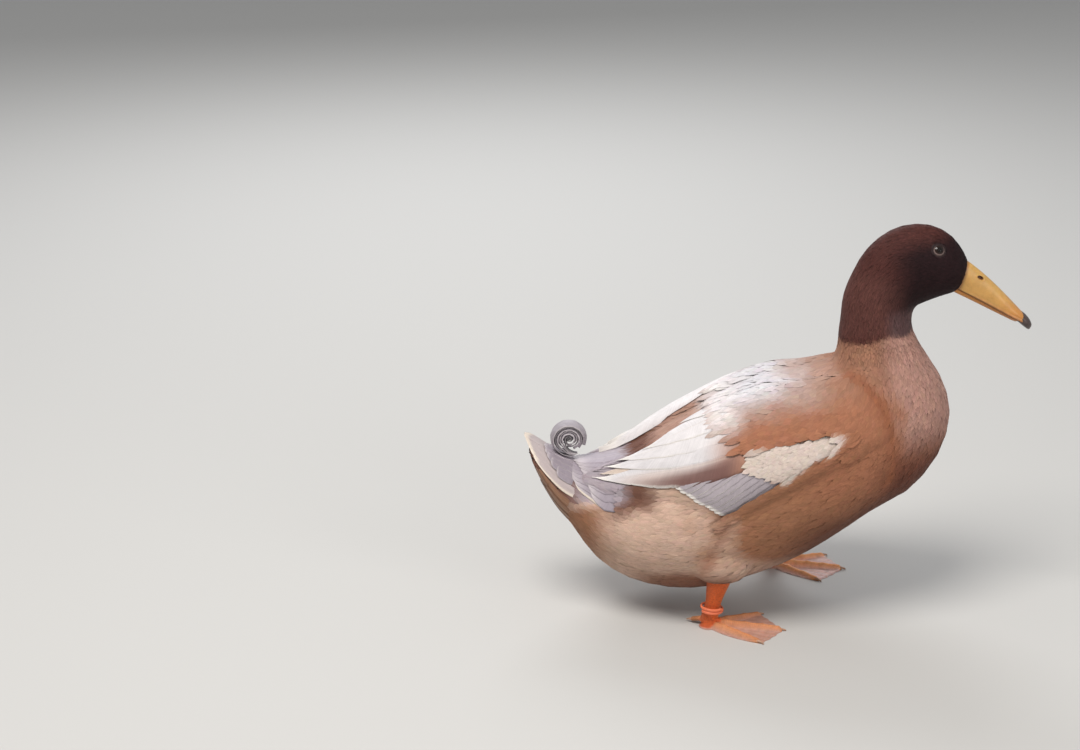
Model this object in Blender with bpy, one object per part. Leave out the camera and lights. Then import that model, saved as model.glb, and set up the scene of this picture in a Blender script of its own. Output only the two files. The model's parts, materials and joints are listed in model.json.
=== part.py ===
"""A buff drake standing in mid stride, as a still, life-size model.

Metres, +Z up. The bird faces +X, its left side is +Y, and the floor is Z = 0.
The origin is at the middle of the bird's length, between the feet, at floor level.
"""

import math
import random

import bmesh
import bpy
import numpy as np
from mathutils import Matrix, Vector
from mathutils.bvhtree import BVHTree

# Gap that touching meshes keep
GAP = 0.0003
MM = 0.001

# The outline of the bird from vent to face, in mm: for each cross-section the dorsal point's
# x and z, the ventral point's x and z, and half the width
OUTLINE = [
    ("vent", -192, 144, -194, 80, 40),
    ("rump", -168, 147, -172, 50, 55),
    ("loin", -139, 157, -143, 30, 68),
    ("belly", -106, 177, -106, 20, 79),
    ("hip", -73, 197, -67, 20, 86),
    ("flank", -40, 215, -25, 32, 90),
    ("back", -8, 228, 19, 51, 90),
    ("mantle", 21, 234, 57, 75, 86),
    ("keel", 41, 241, 95, 102, 79),
    ("shoulder", 51, 246, 130, 122, 69),
    ("breast", 55, 257, 156, 157, 58),
    ("crop", 55.5, 268, 164, 197, 49),
    ("neck_root", 56, 279, 153, 231, 41.5),
    ("low_neck", 57, 290, 136, 256, 36.5),
    ("mid_neck", 57.5, 301, 125, 276, 33),
    ("high_neck", 60, 315, 123, 288, 30.5),
    ("nape", 67, 333, 124, 296, 28.5),
    ("hind_head", 77, 352, 127, 301, 27),
    ("cheek", 93, 368, 134, 304, 26),
    ("crown", 112, 377, 141, 307, 25.5),
    ("brow", 134, 378, 149, 310, 24),
    ("forehead", 153, 370, 157, 312.5, 20.5),
    ("lores", 166, 356, 163, 315, 16),
    ("face", 173, 343, 164, 317, 12.5),
]
TAIL_CUT, NECK_CUT, HEAD_CUT, BILL_CUT = 0, 12, 16, 23
# How much fuller the lower half of a cross-section is, on the body and at the face
EGG_BODY, EGG_FACE = 0.06, 0.28

# The tail carries the same outline on, from the vent up to the tips of its feathers
TAIL = [
    ("vent", -192, 144, -194, 80, 40),
    ("root", -203, 147, -208, 99, 41),
    ("coverts", -214, 152, -220, 120, 39),
    ("middle", -224, 157.5, -229, 139, 34),
    ("end_of_core", -233, 163, -235, 154, 26),
    ("tip", -241, 169, -241.5, 166, 15),
]
# Least radius that turns a tail feather's width into an angle
TAIL_MIN_RADIUS = 0.014
# The solid core of the tail ends at this station, and the feathers reach on
TAIL_CORE = 4.2
# Tiers of tail feathers: how many, the angle that they span over the top or round below,
# first and last station, how much earlier the outer ones end, width, and lift above the core
TAIL_TIERS = [
    dict(name="rectrix", count=13, middle=0, spread=84, root=1.4, tip=5.0, earlier=1.30, wide=0.0135, lift=0.0004),
    dict(name="upper_covert", count=7, middle=0, spread=78, root=0.15, tip=2.7, earlier=0.9, wide=0.0150, lift=0.0012),
    dict(name="under_covert", count=4, middle=180, spread=52, root=0.3, tip=4.1, earlier=0.6, wide=0.0170, lift=0.0005),
]

# Eyes: where each lies on the head, and the sizes of the ball and of the lids round it
EYE_X, EYE_Z = 0.1425, 0.3585
EYE_RADIUS, EYE_DEPTH = 0.0070, 0.0052
LID_RADIUS, LID_THICK = 0.0058, 0.0010

# Bill, in its own frame: along it from the gape, and up from the mouth line
GAPE = Vector((0.1688, 0.0, 0.3160))
BILL_SLOPE = math.radians(28)
UPPER_LENGTH, NAIL_LENGTH, LOWER_LENGTH = 0.0660, 0.0110, 0.0630
BASE_HEIGHT, TIP_HEIGHT, LOWER_THICK = 0.0256, 0.0060, 0.0054
BILL_WIDTHS = ((0.0, 0.0114), (0.3, 0.0108), (0.65, 0.0122), (0.85, 0.0119), (1.0, 0.0098))
NOSTRIL_AT, NOSTRIL_UP = 0.0130, 0.0120
NOSTRIL_SIZE = (0.0042, 0.0030, 0.0017)

# Wings, as a folded sheet on the torso: stations from the shoulder to the tip, each with x in
# mm, the angles of the lower and upper edge above the side of the body, and the height in mm
WING = [
    ("wrist", 102, 26, 44, 3.0),
    ("shoulder", 95, 22, 57, 5.5),
    ("forearm", 75, 18, 67, 8.0),
    ("scapulars", 45, 14, 74, 8.5),
    ("coverts", 10, 10, 79, 10.0),
    ("patch_front", -25, 6, 81, 12.0),
    ("patch_corner", -58, 4, 81, 13.5),
    ("patch_back", -90, 15, 79, 13.5),
    ("tertials", -120, 25, 77, 11.5),
    ("primaries", -148, 34, 75, 8.5),
    ("near_tip", -168, 44, 71, 6.0),
    ("tip", -184, 54, 64, 3.0),
]
WING_UNITS = np.array([MM, 1, 1, MM])
WING_EDGE = 0.0022
WING_ROOT_DEPTH = 0.0030
# Rough radius of the body that turns a distance round it into an angle
BODY_RADIUS = 0.085
# Tiers of wing feathers: how many, the first and last feather's way as x and angle at the root,
# half way and at the tip, the width, and the lift of the first and last above the core
WING_TIERS = [
    dict(name="primary", count=3, first=[(-0.070, 30), (-0.115, 36), (-0.158, 44)],
         last=[(-0.080, 44), (-0.135, 52), (-0.186, 62)], wide=(0.0120, 0.0120), lift=(0.0002, 0.0006)),
    dict(name="secondary", count=6, first=[(0.030, 20), (-0.012, 12), (-0.056, 3)],
         last=[(-0.040, 44), (-0.085, 38), (-0.130, 30)], wide=(0.0150, 0.0160), lift=(0.0003, 0.0011)),
    dict(name="covert", count=5, first=[(0.074, 27), (0.056, 22), (0.038, 17)],
         last=[(0.000, 44), (-0.022, 38), (-0.044, 31)], wide=(0.0170, 0.0170), lift=(0.0011, 0.0015)),
    dict(name="tertial", count=3, first=[(0.010, 46), (-0.085, 36), (-0.179, 56)],
         last=[(0.020, 70), (-0.050, 68), (-0.126, 71)], wide=(0.0300, 0.0230), lift=(0.0013, 0.0021)),
    dict(name="scapular_low", count=4, first=[(0.055, 38), (0.015, 37), (-0.022, 34)],
         last=[(0.045, 73), (-0.010, 73), (-0.070, 73)], wide=(0.0230, 0.0220), lift=(0.0022, 0.0026)),
    dict(name="scapular_high", count=3, first=[(0.084, 38), (0.060, 40), (0.026, 40)],
         last=[(0.058, 62), (0.026, 68), (-0.012, 70)], wide=(0.0230, 0.0230), lift=(0.0029, 0.0032)),
]
# A feather's width along its length, as share of its length and share of its full width
VANE_WIDTHS = ((0.0, 0.55), (0.22, 0.88), (0.5, 1.0), (0.78, 0.90), (0.93, 0.55))
VANE_THICK, VANE_EDGE, VANE_SINK = 0.0011, 0.0006, 0.0009
VARIETY = 0.06

# Legs: the hock where the thigh's feathers end, the ankle, the foot's heading and the side
LEGS = {
    "right": dict(hock=(-0.0550, -0.0685, 0.0450), ankle=(-0.0650, -0.0665, 0.0100), heading=-5, out=-1),
    "left": dict(hock=(-0.0190, 0.0680, 0.0480), ankle=(0.0090, 0.0750, 0.0100), heading=-8, out=1),
}
THIGH_RADII = (0.0290, 0.0160, 0.0220)
SHANK_DEPTH, SHANK_WIDTH, HOCK_SWELL = 0.0140, 0.0096, 1.22
ANKLE_HEIGHT = 0.0120
# Toes: angle from the foot's heading (outwards is positive), length, and radius at the root
TOES = ((31, 0.0600, 0.0040), (0, 0.0700, 0.0044), (-34, 0.0570, 0.0038))
WEB_THICK = 0.0022
WEB_BACK_ANGLE = 64
HALLUX_LENGTH, HALLUX_RADIUS = 0.0150, 0.0028
CLAW_LENGTH, CLAW_RADIUS = 0.0060, 0.0017

# Leg band, a plain round ring lying loose above the right foot
BAND_OUTER, BAND_THICK = 0.0118, 0.0019
BAND_AT = 0.0195
BAND_TILT = math.radians(7)

# Curled feathers over the tail: where their rolls' middle is, and for each feather its radius
# at the start and end, how far round it goes in degrees, its place across and its width
CURL_CENTRE = Vector((-0.1980, 0.0, 0.1662))
CURL_START = -62
CURLS = [
    (0.0170, 0.0158, 262, -0.0012, 0.0110),
    (0.0142, 0.0122, 318, 0.0018, 0.0105),
    (0.0112, 0.0058, 410, -0.0006, 0.0095),
]
CURL_THICK = 0.0009
CURL_BASE = Vector((-0.1905, 0.0, 0.1468))
CURL_BASE_RADII = (0.0120, 0.0075, 0.0052)


def along_rows(rows, t):
    """The sizes at station t, on a smooth curve through all the named rows."""
    rows = np.array([row[1:] for row in rows])
    last = len(rows) - 1
    i = min(int(t), last - 1)
    f = t - i
    a, b = rows[i], rows[i + 1]
    slope_a = (b - rows[i - 1]) / 2 if i > 0 else b - a
    slope_b = (rows[i + 2] - a) / 2 if i + 2 <= last else b - a
    return (
        (2 * f**3 - 3 * f**2 + 1) * a
        + (f**3 - 2 * f**2 + f) * slope_a
        + (3 * f**2 - 2 * f**3) * b
        + (f**3 - f**2) * slope_b
    )


def body_ring(rows, t, sides, egg, push=0.0):
    """The points of the cross-section at station t, moved by push along the body."""
    dx, dz, vx, vz, wide = along_rows(rows, t) * MM
    middle = Vector(((dx + vx) / 2, 0, (dz + vz) / 2))
    half = Vector(((dx - vx) / 2, 0, (dz - vz) / 2))
    along = Vector((0, 1, 0)).cross(half).normalized()
    ring = []
    for k in range(sides):
        angle = 2 * math.pi * k / sides
        width = wide * (1 - egg * math.cos(angle))
        ring.append(middle + half * math.cos(angle) + Vector((0, width * math.sin(angle), 0)) + along * push)
    return ring


def object_of(name, mesh):
    """A scene object that holds the finished bmesh."""
    data = bpy.data.meshes.new(name)
    mesh.to_mesh(data)
    mesh.free()
    made = bpy.data.objects.new(name, data)
    bpy.context.scene.collection.objects.link(made)
    return made


def loft(name, rings):
    """One closed mesh through rings of like count, with a flat at each end."""
    mesh = bmesh.new()
    rows = [[mesh.verts.new(p) for p in ring] for ring in rings]
    n = len(rows[0])
    for a, b in zip(rows, rows[1:]):
        for k in range(n):
            mesh.faces.new((a[k], a[(k + 1) % n], b[(k + 1) % n], b[k]))
    mesh.faces.new(rows[0])
    mesh.faces.new(rows[-1])
    bmesh.ops.recalc_face_normals(mesh, faces=mesh.faces)
    return object_of(name, mesh)


def ball(name, centre, radii, turn=None, segments=16, rings=10):
    """An ellipsoid with its own radii, turned and then placed."""
    mesh = bmesh.new()
    bmesh.ops.create_uvsphere(mesh, u_segments=segments, v_segments=rings, radius=1.0)
    place = Matrix.Translation(centre) @ (turn or Matrix()) @ Matrix.Diagonal((*radii, 1))
    bmesh.ops.transform(mesh, matrix=place, verts=mesh.verts)
    return object_of(name, mesh)


def ring_tube(name, centre, axis, radius, thick, segments=24, sides=8, flat=1.0):
    """A closed round ring about an axis. Flat squeezes its height along the axis."""
    axis = axis.normalized()
    first = axis.orthogonal().normalized()
    second = axis.cross(first)
    mesh = bmesh.new()
    rows = []
    for i in range(segments):
        a = 2 * math.pi * i / segments
        out = first * math.cos(a) + second * math.sin(a)
        row = []
        for k in range(sides):
            b = 2 * math.pi * k / sides
            row.append(mesh.verts.new(
                centre + out * (radius + thick * math.cos(b)) + axis * (thick * flat * math.sin(b))))
        rows.append(row)
    for i in range(segments):
        a, b = rows[i], rows[(i + 1) % segments]
        for k in range(sides):
            mesh.faces.new((a[k], a[(k + 1) % sides], b[(k + 1) % sides], b[k]))
    bmesh.ops.recalc_face_normals(mesh, faces=mesh.faces)
    return object_of(name, mesh)


def apply_modifiers(made):
    """Turns the object's evaluated mesh into its own mesh."""
    graph = bpy.context.evaluated_depsgraph_get()
    done = bpy.data.meshes.new_from_object(made.evaluated_get(graph))
    made.modifiers.clear()
    made.data = done


def cut(made, tool, keep_tool=False):
    """Takes the tool's space out of a solid."""
    step = made.modifiers.new("cut", "BOOLEAN")
    step.operation = "DIFFERENCE"
    step.object = tool
    apply_modifiers(made)
    if not keep_tool:
        bpy.data.objects.remove(tool)


def fuse(made, pieces):
    """Joins closed pieces to a solid in one union, and removes the pieces."""
    group = bpy.data.collections.new("pieces")
    for piece in pieces:
        group.objects.link(piece)
    step = made.modifiers.new("fuse", "BOOLEAN")
    step.operation = "UNION"
    step.operand_type = "COLLECTION"
    step.collection = group
    apply_modifiers(made)
    for piece in pieces:
        bpy.data.objects.remove(piece)
    bpy.data.collections.remove(group)


def keep_largest(made):
    """Drops every closed surface but the one with the most faces."""
    mesh = bmesh.new()
    mesh.from_mesh(made.data)
    left = set(mesh.faces)
    shells = []
    while left:
        shell = set()
        front = [left.pop()]
        while front:
            face = front.pop()
            shell.add(face)
            for edge in face.edges:
                for other in edge.link_faces:
                    if other in left:
                        left.remove(other)
                        front.append(other)
        shells.append(shell)
    shells.sort(key=len)
    for shell in shells[:-1]:
        bmesh.ops.delete(mesh, geom=list(shell), context="FACES")
    mesh.to_mesh(made.data)
    mesh.free()


def grown(made, amount):
    """A copy of a solid that is larger by amount all round, to cut its neighbours with."""
    mesh = bmesh.new()
    mesh.from_mesh(made.data)
    mesh.normal_update()
    moves = [(v, v.normal * (amount * v.calc_shell_factor())) for v in mesh.verts]
    for v, move in moves:
        v.co += move
    return object_of(made.name + "_grown", mesh)


def finish(made, colour, roughness, metallic=0.0, smooth=40):
    """Gives the solid its material and soft shading."""
    material = bpy.data.materials.new(made.name)
    material.use_nodes = True
    shader = material.node_tree.nodes["Principled BSDF"]
    shader.inputs["Base Color"].default_value = (*colour, 1)
    shader.inputs["Roughness"].default_value = roughness
    shader.inputs["Metallic"].default_value = metallic
    made.data.materials.clear()
    made.data.materials.append(material)
    made.data.set_sharp_from_angle(angle=math.radians(smooth))
    return made


def body_part(name, start, end, rings, sides):
    """The stretch of the outline from one station to another, its cut ends half a gap short."""
    made = []
    for i in range(rings + 1):
        t = start + (end - start) * i / rings
        push = GAP / 2 if i == 0 else -GAP / 2 if i == rings else 0.0
        egg = EGG_BODY + (EGG_FACE - EGG_BODY) * max(0.0, (t - HEAD_CUT) / (BILL_CUT - HEAD_CUT))
        made.append(body_ring(OUTLINE, t, sides, egg, push))
    return loft(name, made)


def tail_point(t, angle, lift):
    """The point over the tail at a station, at an angle from its top, lifted off the surface."""
    dx, dz, vx, vz, wide = along_rows(TAIL, t) * MM
    half = Vector(((dx - vx) / 2, 0, (dz - vz) / 2))
    a = math.radians(angle)
    up = half.normalized()
    out = Vector((0, math.sin(a) * half.length, 0)) + up * (math.cos(a) * wide)
    middle = Vector(((dx + vx) / 2, 0, (dz + vz) / 2))
    egg = EGG_BODY * (1 - t / (len(TAIL) - 1))
    spread = wide * math.sin(a) * (1 - egg * math.cos(a))
    return middle + half * math.cos(a) + Vector((0, spread, 0)) + out.normalized() * lift


def tail_feather(tier, share, rng):
    """One feather of a tail tier, at a share from -1 to 1 of the tier's spread."""
    angle = tier["middle"] + share * tier["spread"]
    tip = tier["tip"] - tier["earlier"] * share**2 + rng.uniform(-VARIETY, VARIETY)
    stations = []
    for q in [w[0] for w in VANE_WIDTHS] + [1.0]:
        t = tier["root"] + (tip - tier["root"]) * q
        around = max(TAIL_MIN_RADIUS, along_rows(TAIL, t)[4] * MM)
        across = math.degrees(vane_width(q) * tier["wide"] / 2 / around)
        lift = tier["lift"] + 0.0010 * (1 - abs(share)) + 0.0006 * q
        low = -VANE_SINK if t < TAIL_CORE - 0.2 else lift - VANE_THICK
        stations.append([(tail_point(t, angle + side * across, low),
                          tail_point(t, angle + side * across, lift + (VANE_THICK if side == 0 else VANE_EDGE)))
                         for side in (-1, 0, 1)])
    return vane(tier["name"], stations)


def make_tail(sides=32):
    """The tail: a solid wedge that goes on from the vent, with its tiers of feathers fused on."""
    rings = []
    steps = 9
    for i in range(steps + 1):
        t = TAIL_CORE * i / steps
        push = -GAP / 2 if i == 0 else 0.0
        rings.append(body_ring(TAIL, t, sides, EGG_BODY * (1 - t / (len(TAIL) - 1)), push))
    tail = loft("tail", rings)
    rng = random.Random(11)
    pieces = []
    for tier in TAIL_TIERS:
        for i in range(tier["count"]):
            share = -1 + 2 * i / (tier["count"] - 1)
            pieces.append(tail_feather(tier, share, rng))
    fuse(tail, pieces)
    keep_largest(tail)
    return tail


def surface_of(made):
    mesh = bmesh.new()
    mesh.from_mesh(made.data)
    tree = BVHTree.FromBMesh(mesh)
    mesh.free()
    return tree


def axis_height(x):
    """Height of the line inside the torso that the wings' angles turn about."""
    return 0.134 + 0.28 * max(x, -0.165)


def on_body(tree, x, angle, height, side):
    """The point at a height over the torso, at x and an angle in degrees above its side."""
    a = math.radians(angle)
    start = Vector((x, 0, axis_height(x)))
    out = Vector((0, side * math.cos(a), math.sin(a)))
    hit = tree.ray_cast(start, out)[0]
    return hit + out * height


def vane_width(q):
    """Share of a feather's full width at a share of its length."""
    xs, ys = zip(*VANE_WIDTHS)
    return float(np.interp(q, xs, ys))


def vane(name, stations):
    """A closed feather blade. Each station has its left, middle and right as a low and a high point,
    and the last one gives only the tip. Both faces are split into triangles alike."""
    mesh = bmesh.new()
    rows = [[(mesh.verts.new(low), mesh.verts.new(high)) for low, high in row] for row in stations[:-1]]
    low_tip, high_tip = stations[-1][1]
    tip = mesh.verts.new((low_tip + high_tip) / 2)
    for a, b in zip(rows, rows[1:]):
        for k in (0, 1):
            for face in (0, 1):
                mesh.faces.new((a[k][face], a[k + 1][face], b[k][face]))
                mesh.faces.new((a[k + 1][face], b[k + 1][face], b[k][face]))
        for k in (0, 2):
            mesh.faces.new((a[k][0], a[k][1], b[k][1], b[k][0]))
    root, end = rows[0], rows[-1]
    for k in (0, 1):
        mesh.faces.new((root[k][0], root[k + 1][0], root[k + 1][1], root[k][1]))
        for face in (0, 1):
            mesh.faces.new((end[k][face], end[k + 1][face], tip))
    for k in (0, 2):
        mesh.faces.new((end[k][0], end[k][1], tip))
    bmesh.ops.recalc_face_normals(mesh, faces=mesh.faces)
    return object_of(name, mesh)


def wing_height(x, angle):
    """Height of the wing's core over the body at x and an angle, falling to nothing beyond its edge."""
    samples = [along_rows(WING, (len(WING) - 1) * i / 60) * WING_UNITS for i in range(61)]
    xs = [-row[0] for row in samples]
    low, high, thick = (float(np.interp(-x, xs, [row[k] for row in samples])) for k in (1, 2, 3))
    f = (angle - low) / (high - low)
    inside = min(1.0, max(0.0, f))
    height = WING_EDGE + (thick - WING_EDGE) * wing_rise(inside)
    beyond = abs(f - inside) * math.radians(high - low) * BODY_RADIUS + max(0.0, WING[-1][1] * MM - x)
    return height - min(height, 0.12 * beyond), beyond


def wing_feather(tree, side, name, way, wide, lift):
    """One wing feather along its way of x and angle over the core."""
    (x0, a0), (x1, a1), (x2, a2) = way
    stations = []
    for q in [w[0] for w in VANE_WIDTHS] + [1.0]:
        p, m, r = (1 - q) * (1 - 2 * q), 4 * q * (1 - q), q * (2 * q - 1)
        x, a = p * x0 + m * x1 + r * x2, p * a0 + m * a1 + r * a2
        run = Vector(((4 * q - 3) * x0 + (4 - 8 * q) * x1 + (4 * q - 1) * x2,
                      math.radians((4 * q - 3) * a0 + (4 - 8 * q) * a1 + (4 * q - 1) * a2) * BODY_RADIUS))
        run.normalize()
        half = wide * vane_width(q) / 2
        row = []
        for k in (-1, 0, 1):
            px = x + run.y * half * k
            pa = a - math.degrees(run.x * half * k / BODY_RADIUS)
            core, beyond = wing_height(px, pa)
            high = core + lift + 0.0005 * q + (VANE_THICK if k == 0 else VANE_EDGE)
            low = core - VANE_SINK if beyond < 0.001 else -VANE_SINK
            row.append((on_body(tree, px, pa, low, side), on_body(tree, px, pa, high, side)))
        stations.append(row)
    return vane(name, stations)


def wing_feathers(tree, side):
    """All the feathers of one wing, tier by tier, each a little different."""
    rng = random.Random(5)
    made = []
    for tier in WING_TIERS:
        last = tier["count"] - 1
        for i in range(tier["count"]):
            f = i / last
            shift = rng.uniform(-VARIETY, VARIETY)
            way = []
            for k, (start, end) in enumerate(zip(tier["first"], tier["last"])):
                x = start[0] + (end[0] - start[0]) * f
                angle = start[1] + (end[1] - start[1]) * f + shift * 10 * k / 2
                way.append((x, angle))
            wide = tier["wide"][0] + (tier["wide"][1] - tier["wide"][0]) * f
            lift = tier["lift"][0] + (tier["lift"][1] - tier["lift"][0]) * f
            made.append(wing_feather(tree, side, tier["name"], way, wide * (1 + shift), lift))
    return made


def wing_rise(f):
    """How the wing's height grows over its width: slowly from below, highest near the back."""
    low = min(1.0, f / 0.22)
    return (0.62 * math.sin(low * math.pi / 2) + 0.38 * f) * min(1.0, (1 - f) / 0.16) ** 0.5


def make_wing(name, tree, torso_grown, side):
    """A folded wing: a rounded sheet over the side of the body, cut to the torso's own shape."""
    along, across = 15, 6
    mesh = bmesh.new()
    outer, inner = [], []
    for i in range(along + 1):
        x, low, high, thick = along_rows(WING, (len(WING) - 1) * i / along) * WING_UNITS
        outer_row, inner_row = [], []
        for j in range(across + 1):
            f = j / across
            height = WING_EDGE + (thick - WING_EDGE) * wing_rise(f)
            angle = low + (high - low) * f
            outer_row.append(mesh.verts.new(on_body(tree, x, angle, height, side)))
            inner_row.append(mesh.verts.new(on_body(tree, x, angle, -WING_ROOT_DEPTH, side)))
        outer.append(outer_row)
        inner.append(inner_row)
    for i in range(along):
        for j in range(across):
            for grid in (outer, inner):
                a, b, c, d = grid[i][j], grid[i + 1][j], grid[i + 1][j + 1], grid[i][j + 1]
                mesh.faces.new((a, b, c))
                mesh.faces.new((a, c, d))
    rim = [(i, 0) for i in range(along)] + [(along, j) for j in range(across)]
    rim += [(i, across) for i in range(along, 0, -1)] + [(0, j) for j in range(across, 0, -1)]
    for (i, j), (k, m) in zip(rim, rim[1:] + rim[:1]):
        mesh.faces.new((outer[i][j], outer[k][m], inner[k][m], inner[i][j]))
    bmesh.ops.recalc_face_normals(mesh, faces=mesh.faces)
    wing = object_of(name, mesh)
    fuse(wing, wing_feathers(tree, side))
    cut(wing, torso_grown, keep_tool=True)
    keep_largest(wing)
    return wing


def bill_point(along, y, up):
    """A point of the bill's own frame, in the bird's."""
    forward = Vector((math.cos(BILL_SLOPE), 0, -math.sin(BILL_SLOPE)))
    upward = Vector((math.sin(BILL_SLOPE), 0, math.cos(BILL_SLOPE)))
    return GAPE + forward * along + upward * up + Vector((0, y, 0))


def base_station(up):
    """How far along the bill the face stands, at a height over the mouth line."""
    dx, dz, vx, vz = (size * MM for size in OUTLINE[-1][1:5])
    low = bill_frame(Vector((vx, 0, vz)))
    high = bill_frame(Vector((dx, 0, dz)))
    f = (up - low[1]) / (high[1] - low[1])
    return low[0] + (high[0] - low[0]) * f


def bill_frame(point):
    """Along and up in the bill's frame, of a point on the bird's middle plane."""
    d = point - GAPE
    along = d.x * math.cos(BILL_SLOPE) - d.z * math.sin(BILL_SLOPE)
    up = d.x * math.sin(BILL_SLOPE) + d.z * math.cos(BILL_SLOPE)
    return along, up


def width_at(q):
    xs, ys = zip(*BILL_WIDTHS)
    return float(np.interp(q, xs, ys))


def make_bill_upper():
    """The upper bill: high at the face, flat and broad towards the tip, open below at the mouth line."""
    rings = []
    stations = (0.0, 0.05, 0.12, 0.22, 0.34, 0.47, 0.60, 0.72, 0.83, 0.92, 1.0)
    sides = 14
    for q in stations:
        tall = TIP_HEIGHT + (BASE_HEIGHT - TIP_HEIGHT) * (1 - q) ** 1.06
        wide = width_at(q)
        dome = 1.0 - 0.35 * min(1.0, q * 1.6)
        ring = []
        for k in range(sides + 1):
            a = math.pi * k / sides
            up = tall * math.sin(a) ** dome
            y = wide * math.copysign(abs(math.cos(a)) ** 0.8, math.cos(a))
            start = base_station(up) + GAP
            along = start + (UPPER_LENGTH - start) * q
            ring.append(bill_point(along, y, up))
        rings.append(ring)
    upper = loft("bill_upper", rings)
    turn = Matrix.Rotation(BILL_SLOPE, 4, "Y")
    for side in (1, -1):
        q = NOSTRIL_AT / UPPER_LENGTH
        middle = bill_point(NOSTRIL_AT, side * width_at(q) * 0.80, NOSTRIL_UP)
        long, deep, high = NOSTRIL_SIZE
        cut(upper, ball("nostril", middle, (long, deep, high), turn, 12, 8))
    return upper


def make_bill_lower():
    """The lower bill, a thin flat tray that closes against the upper one."""
    rings = []
    for q in (0.0, 0.15, 0.35, 0.55, 0.75, 0.9, 1.0):
        wide = width_at(q) * (0.86 - 0.10 * q) * (1.0 if q < 1 else 0.72)
        thick = LOWER_THICK * (1 - 0.35 * q)
        ring = []
        for k in range(9):
            a = math.pi * k / 8
            up = -GAP - thick * math.sin(a) ** 0.7
            start = base_station(up) + GAP
            along = start + (LOWER_LENGTH - start) * q
            ring.append(bill_point(along, wide * math.cos(a), up))
        rings.append(ring)
    return loft("bill_lower", rings)


def make_bill_nail():
    """The nail, the hard bean at the tip, which bends down over the lower bill."""
    rings = []
    for q, wide, tall, drop in ((0, 0.0084, 0.0044, 0.0), (0.35, 0.0080, 0.0042, 0.0008),
                                (0.7, 0.0060, 0.0038, 0.0022), (1.0, 0.0024, 0.0022, 0.0036)):
        along = UPPER_LENGTH + GAP + NAIL_LENGTH * q
        ring = []
        for k in range(12):
            a = 2 * math.pi * k / 12
            up = tall / 2 + tall / 2 * math.sin(a) - drop
            ring.append(bill_point(along, wide * math.cos(a), up))
        rings.append(ring)
    return loft("bill_nail", rings)


def add_eyes(head):
    """Sinks a ball into each side of the head, with a socket round it and lids on the rim."""
    tree = surface_of(head)
    eyes, lids = [], []
    for name, side in (("eye_left", 1), ("eye_right", -1)):
        start = Vector((EYE_X, side * 0.1, EYE_Z))
        point, normal, _, _ = tree.ray_cast(start, Vector((0, -side, 0)))
        centre = point - normal * EYE_DEPTH
        eyes.append(ball(name, centre, [EYE_RADIUS] * 3, segments=16, rings=10))
        lid_centre = centre + normal * (EYE_DEPTH - 0.0003)
        lids.append(ring_tube("lid", lid_centre, normal, LID_RADIUS, LID_THICK, 20, 6))
    fuse(head, lids)
    for eye in eyes:
        cut(head, grown(eye, GAP))
    keep_largest(head)
    return eyes


def make_thigh(name, leg, torso_grown):
    """The feathered end of the thigh under the body, cut to the torso's own shape."""
    hock = Vector(leg["hock"])
    centre = hock + Vector((0, 0, THIGH_RADII[2]))
    thigh = ball(name, centre, THIGH_RADII, segments=20, rings=12)
    # A flat under it takes the shank's end
    slab = bmesh.new()
    bmesh.ops.create_cube(slab, size=0.1)
    flat = hock.z + 0.0030
    bmesh.ops.translate(slab, verts=slab.verts, vec=(hock.x, hock.y, flat - 0.05))
    cut(thigh, object_of("slab", slab))
    cut(thigh, torso_grown, keep_tool=True)
    keep_largest(thigh)
    return thigh


def make_shank(name, leg):
    """The bare leg from hock to ankle, deeper than it is wide, with a knob at each end."""
    top = Vector(leg["hock"])
    top.z += 0.0030 - GAP
    low = Vector(leg["ankle"])
    low.z = ANKLE_HEIGHT + GAP
    rings = []
    for q, swell in ((0, HOCK_SWELL), (0.15, 1.12), (0.35, 0.97), (0.6, 0.92), (0.82, 0.96), (1.0, 1.06)):
        middle = top.lerp(low, q)
        ring = []
        for k in range(16):
            a = 2 * math.pi * k / 16
            ring.append(middle + Vector((
                SHANK_DEPTH / 2 * swell * math.cos(a), SHANK_WIDTH / 2 * swell * math.sin(a), 0)))
        rings.append(ring)
    return loft(name, rings)


def capsule(name, start, end, r0, r1, sides=10):
    """A round tapered rod with blunt ends, cut flat where it would pass the floor."""
    along = (end - start).normalized()
    across = along.orthogonal().normalized()
    other = along.cross(across)
    rings = []
    for q, r in ((-0.6, 0.55), (0.0, 1.0), (1.0, 1.0), (1.6, 0.55)):
        base = r0 if q <= 0 else r1
        middle = start + along * (q * r0) if q <= 0 else end + along * ((q - 1) * r1)
        ring = []
        for k in range(sides):
            a = 2 * math.pi * k / sides
            ring.append(middle + (across * math.cos(a) + other * math.sin(a)) * base * r)
        rings.append(ring)
    return loft(name, rings)


def foot_reach(angle):
    """How far the web reaches at an angle from the heading: full at each toe, hollow between."""
    toes = sorted((math.radians(t[0]), t[1]) for t in TOES)
    edge = math.radians(WEB_BACK_ANGLE)
    if angle <= toes[0][0]:
        f = max(0.0, (toes[0][0] - angle) / (edge + toes[0][0]))
        return toes[0][1] * (1 - f) ** 1.6 + 0.010 * f
    if angle >= toes[-1][0]:
        f = max(0.0, (angle - toes[-1][0]) / (edge - toes[-1][0]))
        return toes[-1][1] * (1 - f) ** 1.6 + 0.010 * f
    for (a, ra), (b, rb) in zip(toes, toes[1:]):
        if a <= angle <= b:
            f = (angle - a) / (b - a)
            chord = ra * rb * math.sin(b - a) / (ra * math.sin(angle - a) + rb * math.sin(b - angle))
            return chord * (1 - 0.10 * math.sin(math.pi * f))
    return 0.0


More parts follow.
